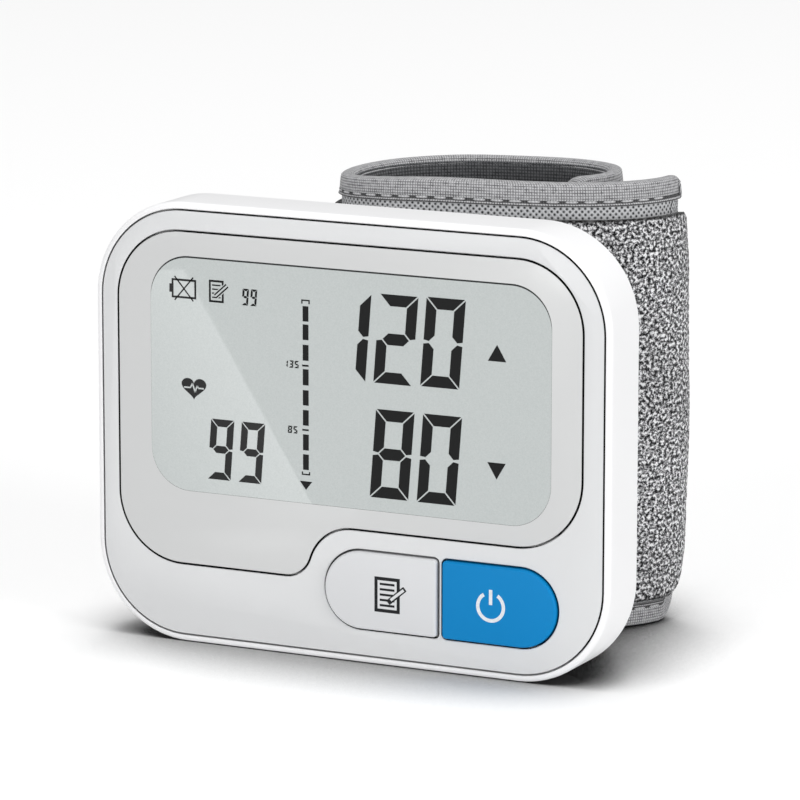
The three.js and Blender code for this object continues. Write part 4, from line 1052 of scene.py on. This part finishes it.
def thicken(piece, thickness, rounding=0.3):
    makeActive(piece)
    faces, vertices = len(piece.data.polygons), len(piece.data.vertices)
    step = piece.modifiers.new("thickness", "SOLIDIFY")
    step.thickness = thickness * mm
    step.offset = -1
    bpy.ops.object.modifier_apply(modifier=step.name)
    places = piece.data.uv_layers[0].data
    for face in piece.data.polygons[2 * faces:]:    # the cut edge gets cloth of its own, a thickness wide
        for corner in face.loop_indices:
            if piece.data.loops[corner].vertex_index >= vertices:
                places[corner].uv += Vector((thickness, thickness))
    step = piece.modifiers.new("edge", "BEVEL")
    step.width = rounding * thickness * mm
    step.segments = 2
    step.limit_method = "ANGLE"
    step.angle_limit = radians(60)
    bpy.ops.object.modifier_apply(modifier=step.name)


def finishCloth(piece, finish, free, replaced=()):
    finishPiece(piece, finish, None if free else fixedBody, replaced, clothAngle)
    if free:    # the free end's pieces are attached to no body, and their placement is baked into their mesh
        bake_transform(piece)
    return piece


# Plies, from the outside in. Each ends a little inside the tape, and has a rounded corner at its end.

plies = {
    "cuffFelt": {"low": 4.1, "high": 64.2, "outer": 4.4, "thickness": 1.0, "columns": 150, "rows": 76,
                 "freeColumns": 44, "inset": 0.4, "fuzz": 0.1},
    "cuffCover": {"low": 0.9, "high": 68.8, "outer": 3.2, "thickness": 0.6, "columns": 110, "rows": 50,
                  "freeColumns": 34, "inset": 1.2, "fuzz": 0.03},
    "cuffLining": {"low": 0.8, "high": 68.9, "outer": 0.6, "thickness": 0.6, "columns": 110, "rows": 50,
                   "freeColumns": 34, "inset": 1.2, "fuzz": 0.03},
}
loopFelt = loopFinish(cuff["height"], plies["cuffFelt"]["low"], plies["cuffFelt"]["high"])


def cornerTrim(away, corner):
    high, along = corner
    reach = min(max(1 - away / along, 0), 1)
    return high * (1 - sqrt(1 - reach * reach))


def addPly(name, start, end, columns, rows, low, high, outer, thickness, fuzz, bandEnd=None, lengthAt=0.0):
    def placeAt(vertex):
        angle = start + (vertex.co.x + 0.5) * (end - start)
        lowTrim = highTrim = 0
        if bandEnd:
            away = (end - angle if bandEnd["way"] > 0 else angle - start) * bandEnd["degree"]
            lowTrim, highTrim = cornerTrim(away, bandEnd["low"]), cornerTrim(away, bandEnd["high"])
        height = low + lowTrim + (vertex.co.y + 0.5) * (high - highTrim - low - lowTrim)
        rough = fuzz * noise.noise(Vector((angle * 0.9, height * 2.6, 7)))
        return bandPoint(angle, outer + rough, height), height
    return addCloth(name, columns, rows, placeAt, thickness, lengthAt)


def makePlies(name, finish, node):
    ply = plies[name]
    shared = {key: ply[key] for key in ("low", "high", "outer", "thickness", "fuzz", "rows")}
    start, end = (bandEnd["angle"] - bandEnd["way"] * ply["inset"] / bandEnd["degree"]
                  for bandEnd in (innerEnd, freeEnd))
    body, length = addPly(name + "Body", start, cuff["split"], ply["columns"], bandEnd=innerEnd, **shared)
    free, total = addPly(name + "FreeEnd", cuff["split"], end, ply["freeColumns"], bandEnd=freeEnd,
                         lengthAt=length, **shared)
    finishCloth(body, finish, False, [node])
    finishCloth(free, finish, True, [node, "cuff_tab"])
    height = ply["high"] - ply["low"]
    return (body, (length * mm, height * mm)), (free, ((total - length) * mm, height * mm))


# Binding tape follows the band's edge, folded over the plies and sewn through. Heights are from the edge.

stitch = {"length": 1.9, "pitch": 2.9, "radius": 0.17, "lift": -0.1, "low": 2.85, "high": 66.85,
          "tip": 0.15, "tipScale": 0.45, "sides": 8,
          "bodyEnds": (6, 0), "freeEnds": (3, 9)}    # degrees left bare at the ends of the rows
tape = {"width": 3.5, "innerWidth": 1.2, "outer": 3.66, "inner": -0.4, "round": 0.7, "roundPower": 0.6,
        "thickness": 0.42, "groove": 0.2, "flare": 0.14, "columnAngle": 1.5, "foldSteps": 12,
        "cornerSteps": 8, "uprightSteps": 30, "fitReach": 5,
        "sink": 0.55}    # the upright tape sinks under the felt


# From the inner leg over the fold to the outer leg, which dips under the thread and flares at its edge
def tapeSection():
    inner, outer, flare = tape["inner"], tape["outer"], tape["flare"]
    half, middle = (outer - inner) / 2, (outer + inner) / 2
    section = [(inner, tape["innerWidth"]), (inner, (tape["innerWidth"] + tape["round"]) / 2)]
    for step in range(tape["foldSteps"] + 1):
        turn = pi * step / tape["foldSteps"]
        section.append((middle - half * cos(turn),
                        tape["round"] * (1 - sin(turn) ** tape["roundPower"])))
    sewn, dip = stitch["low"], outer - tape["groove"]
    return section + [(outer, sewn - 1), (outer, sewn - 0.45), (dip, sewn - 0.12), (dip, sewn + 0.12),
                      (outer + flare / 2, sewn + 0.42), (outer + flare, tape["width"])]


# Points on the band's outline, each with its way inwards, which is cut short along the band at a tight
# corner so that the tape doesn't cross itself
def edgePath(bandEnd):
    start, end, way, degree = cuff["split"], bandEnd["angle"], bandEnd["way"], bandEnd["degree"]
    turns = [pi / 2 * step / tape["cornerSteps"] for step in range(tape["cornerSteps"] + 1)]
    (lowHeight, lowAlong), (highHeight, highAlong) = [
        (corner[0], way * corner[1] / degree) for corner in (bandEnd["low"], bandEnd["high"])]
    lowFit, highFit = (min(min(bandEnd[corner]) / tape["width"], 1) for corner in ("low", "high"))
    lowStart, highStart = end - lowAlong, end - highAlong
    columns = int(abs(lowStart - start) / tape["columnAngle"])
    path = [(start + (lowStart - start) * column / columns, 0, 0, 1) for column in range(columns)]
    path += [(lowStart + lowAlong * sin(turn), lowHeight * (1 - cos(turn)),
              -way * sin(turn) * lowFit / degree, cos(turn)) for turn in turns]
    upright = cuff["height"] - highHeight - lowHeight
    for step in range(1, tape["uprightSteps"]):
        climbed = upright * (1 - cos(pi * step / tape["uprightSteps"])) / 2
        fit = min(lowFit + climbed / tape["fitReach"],
                  highFit + (upright - climbed) / tape["fitReach"], 1)
        path.append((end, lowHeight + climbed, -way * fit / degree, 0))
    path += [(highStart + highAlong * cos(turn), cuff["height"] - highHeight * (1 - sin(turn)),
              -way * cos(turn) * highFit / degree, -sin(turn)) for turn in turns]
    return path + [(start + (highStart - start) * (column - 1) / columns, cuff["height"], 0, -1)
                   for column in range(columns, 0, -1)]


# The section of the inner end's tape runs backwards, so that its faces point outwards too
def makeTape(name, bandEnd, free, replaced):
    section, path = tapeSection()[::bandEnd["way"]], edgePath(bandEnd)
    across = [0.0]
    for (offset, depth), (nextOffset, nextDepth) in zip(section, section[1:]):
        across.append(across[-1] + hypot(nextOffset - offset, nextDepth - depth))
    if free:    # the cloth's pattern counts from the outer leg's edge
        across = [across[-1] - length for length in across]

    def placeAt(vertex):
        row, column = divmod(vertex.index, len(path))
        angle, height, inAngle, inHeight = path[column]
        offset, depth = section[row]
        upright = abs(inAngle) * freeEnd["degree"] if offset > tape["outer"] / 2 else 0
        return bandPoint(angle + inAngle * depth, offset - tape["sink"] * min(upright, 1),
                         height + inHeight * depth), across[row]
    piece = addCloth(name, len(path) - 1, len(section) - 1, placeAt, tape["thickness"])[0]
    return finishCloth(piece, bindingTape, free, replaced)


# Stitches: one short thread is modelled, then copied along each tape

def addStitch():
    clearSelection()
    bpy.ops.mesh.primitive_cylinder_add(vertices=stitch["sides"], radius=stitch["radius"] * mm,
                                        depth=stitch["length"] * mm * (1 - 2 * stitch["tip"]),
                                        location=(0, 0, 0))
    thread = bpy.context.object
    bpy.ops.object.mode_set(mode="EDIT")
    bpy.ops.mesh.select_all(action="DESELECT")
    shape = bmesh.from_edit_mesh(thread.data)
    for face in shape.faces:
        face.select = abs(face.normal.z) > 0.9
    bmesh.update_edit_mesh(thread.data)
    bpy.ops.mesh.extrude_faces_move(
        TRANSFORM_OT_shrink_fatten={"value": stitch["length"] * mm * stitch["tip"]})
    bpy.ops.transform.resize(value=(stitch["tipScale"], stitch["tipScale"], 1))
    bpy.ops.object.mode_set(mode="OBJECT")
    return thread


def makeStitches(name, start, end, bare, free):
    thread = addStitch()
    copies = []
    for height in (stitch["low"], stitch["high"]):
        angle = start + bare[0]
        while angle < end - bare[1]:
            place = bandPoint(angle, tape["outer"] + stitch["lift"], height)
            ahead = bandPoint(angle + 0.5, tape["outer"] + stitch["lift"], height) - place
            along = ahead.normalized()
            out = along.cross(Vector((0, 0, 1))).normalized()
            turned = Matrix((out, along.cross(out), along)).transposed().to_4x4()
            copy = thread.copy()
            copy.data = thread.data.copy()
            copy.data.transform(Matrix.Translation(place) @ turned)
            bpy.context.collection.objects.link(copy)
            copies.append(copy)
            angle += stitch["pitch"] * mm / (ahead.length / 0.5)
    bpy.data.objects.remove(thread, do_unlink=True)
    return finishCloth(joinPieces(name, copies), seamThread, free)


# Padding: thin pillows between two heights of the band, thickest in the middle

bladder = {"start": 181, "end": 299, "low": 9.8, "high": 59.9, "inner": 0.85, "outer": 1.6}
endPad = {"start": 325, "end": 347, "low": 3, "high": 66, "inner": 0.8, "outer": 2.4}
padEdge, padCuts = 0.35, 30    # the edge's share of the full thickness, and the cuts along each side


def addPad(name, start, end, low, high, inner, outer):
    clearSelection()
    bpy.ops.mesh.primitive_cube_add(size=1, location=(0, 0, 0), enter_editmode=True)
    piece = bpy.context.object
    piece.name = name
    shape = bmesh.from_edit_mesh(piece.data)
    for edge in shape.edges:
        edge.select = abs((edge.verts[0].co - edge.verts[1].co).y) < 0.5
    bmesh.update_edit_mesh(piece.data)
    bpy.ops.mesh.subdivide(number_cuts=padCuts)
    bpy.ops.object.mode_set(mode="OBJECT")
    middle, half = (inner + outer) / 2, (outer - inner) / 2
    for vertex in piece.data.vertices:
        u, w, v = vertex.co.x * 2, vertex.co.y * 2, vertex.co.z * 2
        crown = (1 - u ** 6) * (1 - v ** 6)
        angle = (start + end) / 2 + u * (end - start) / 2
        height = (low + high) / 2 + v * (high - low) / 2
        vertex.co = bandPoint(angle, middle + w * half * (padEdge + (1 - padEdge) * crown), height)
    makeActive(piece)
    bpy.ops.object.mode_set(mode="EDIT")
    turnFacesOut()
    return piece


hook = {"start": 326.25, "end": 345, "low": 12.1, "high": 56.2, "outer": -0.2, "thickness": 0.6,
        "columns": 16, "rows": 60, "fuzz": 0.05}


def makeHookPatch():
    patch = addPly("cuffHookPatch", **hook)[0]
    return finishPiece(patch, hookTape, freeBody, ["cuff_hook_patch"], clothAngle)


def makeCuff():
    bindings = ["cuff_top_binding", "cuff_bottom_binding"]
    tapeFree = makeTape("cuffTapeFreeEnd", freeEnd, True, bindings + ["cuff_tab"])
    tapeBody = makeTape("cuffTapeBody", innerEnd, False, bindings)
    rowBody = makeStitches("cuffStitchBody", innerEnd["angle"], cuff["split"], stitch["bodyEnds"], False)
    rowFree = makeStitches("cuffStitchFreeEnd", cuff["split"], freeEnd["angle"], stitch["freeEnds"], True)
    (coverBody, coverFlat), (coverFree, coverFreeFlat) = makePlies("cuffCover", spacerMesh,
                                                                   "cuff_cover")
    (liningBody, liningFlat), (liningFree, liningFreeFlat) = makePlies("cuffLining", liningCloth,
                                                                       "cuff_lining")
    makeHookPatch()
    for piece, flat in makePlies("cuffFelt", loopFelt, "cuff_felt"):
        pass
    airBladder = addPad("airBladder", **bladder)
    finishPiece(airBladder, softRubber, fixedBody, ["cuff_bladder"], clothAngle)
    freeEndPad = addPad("freeEndPad", **endPad)
    finishPiece(freeEndPad, padFoam, freeBody, ["cuff_tab"], clothAngle)


makeCuff()
print("cuff is wrapped and bound")

clearSelection()
bpy.context.scene.view_settings.view_transform = "Standard"
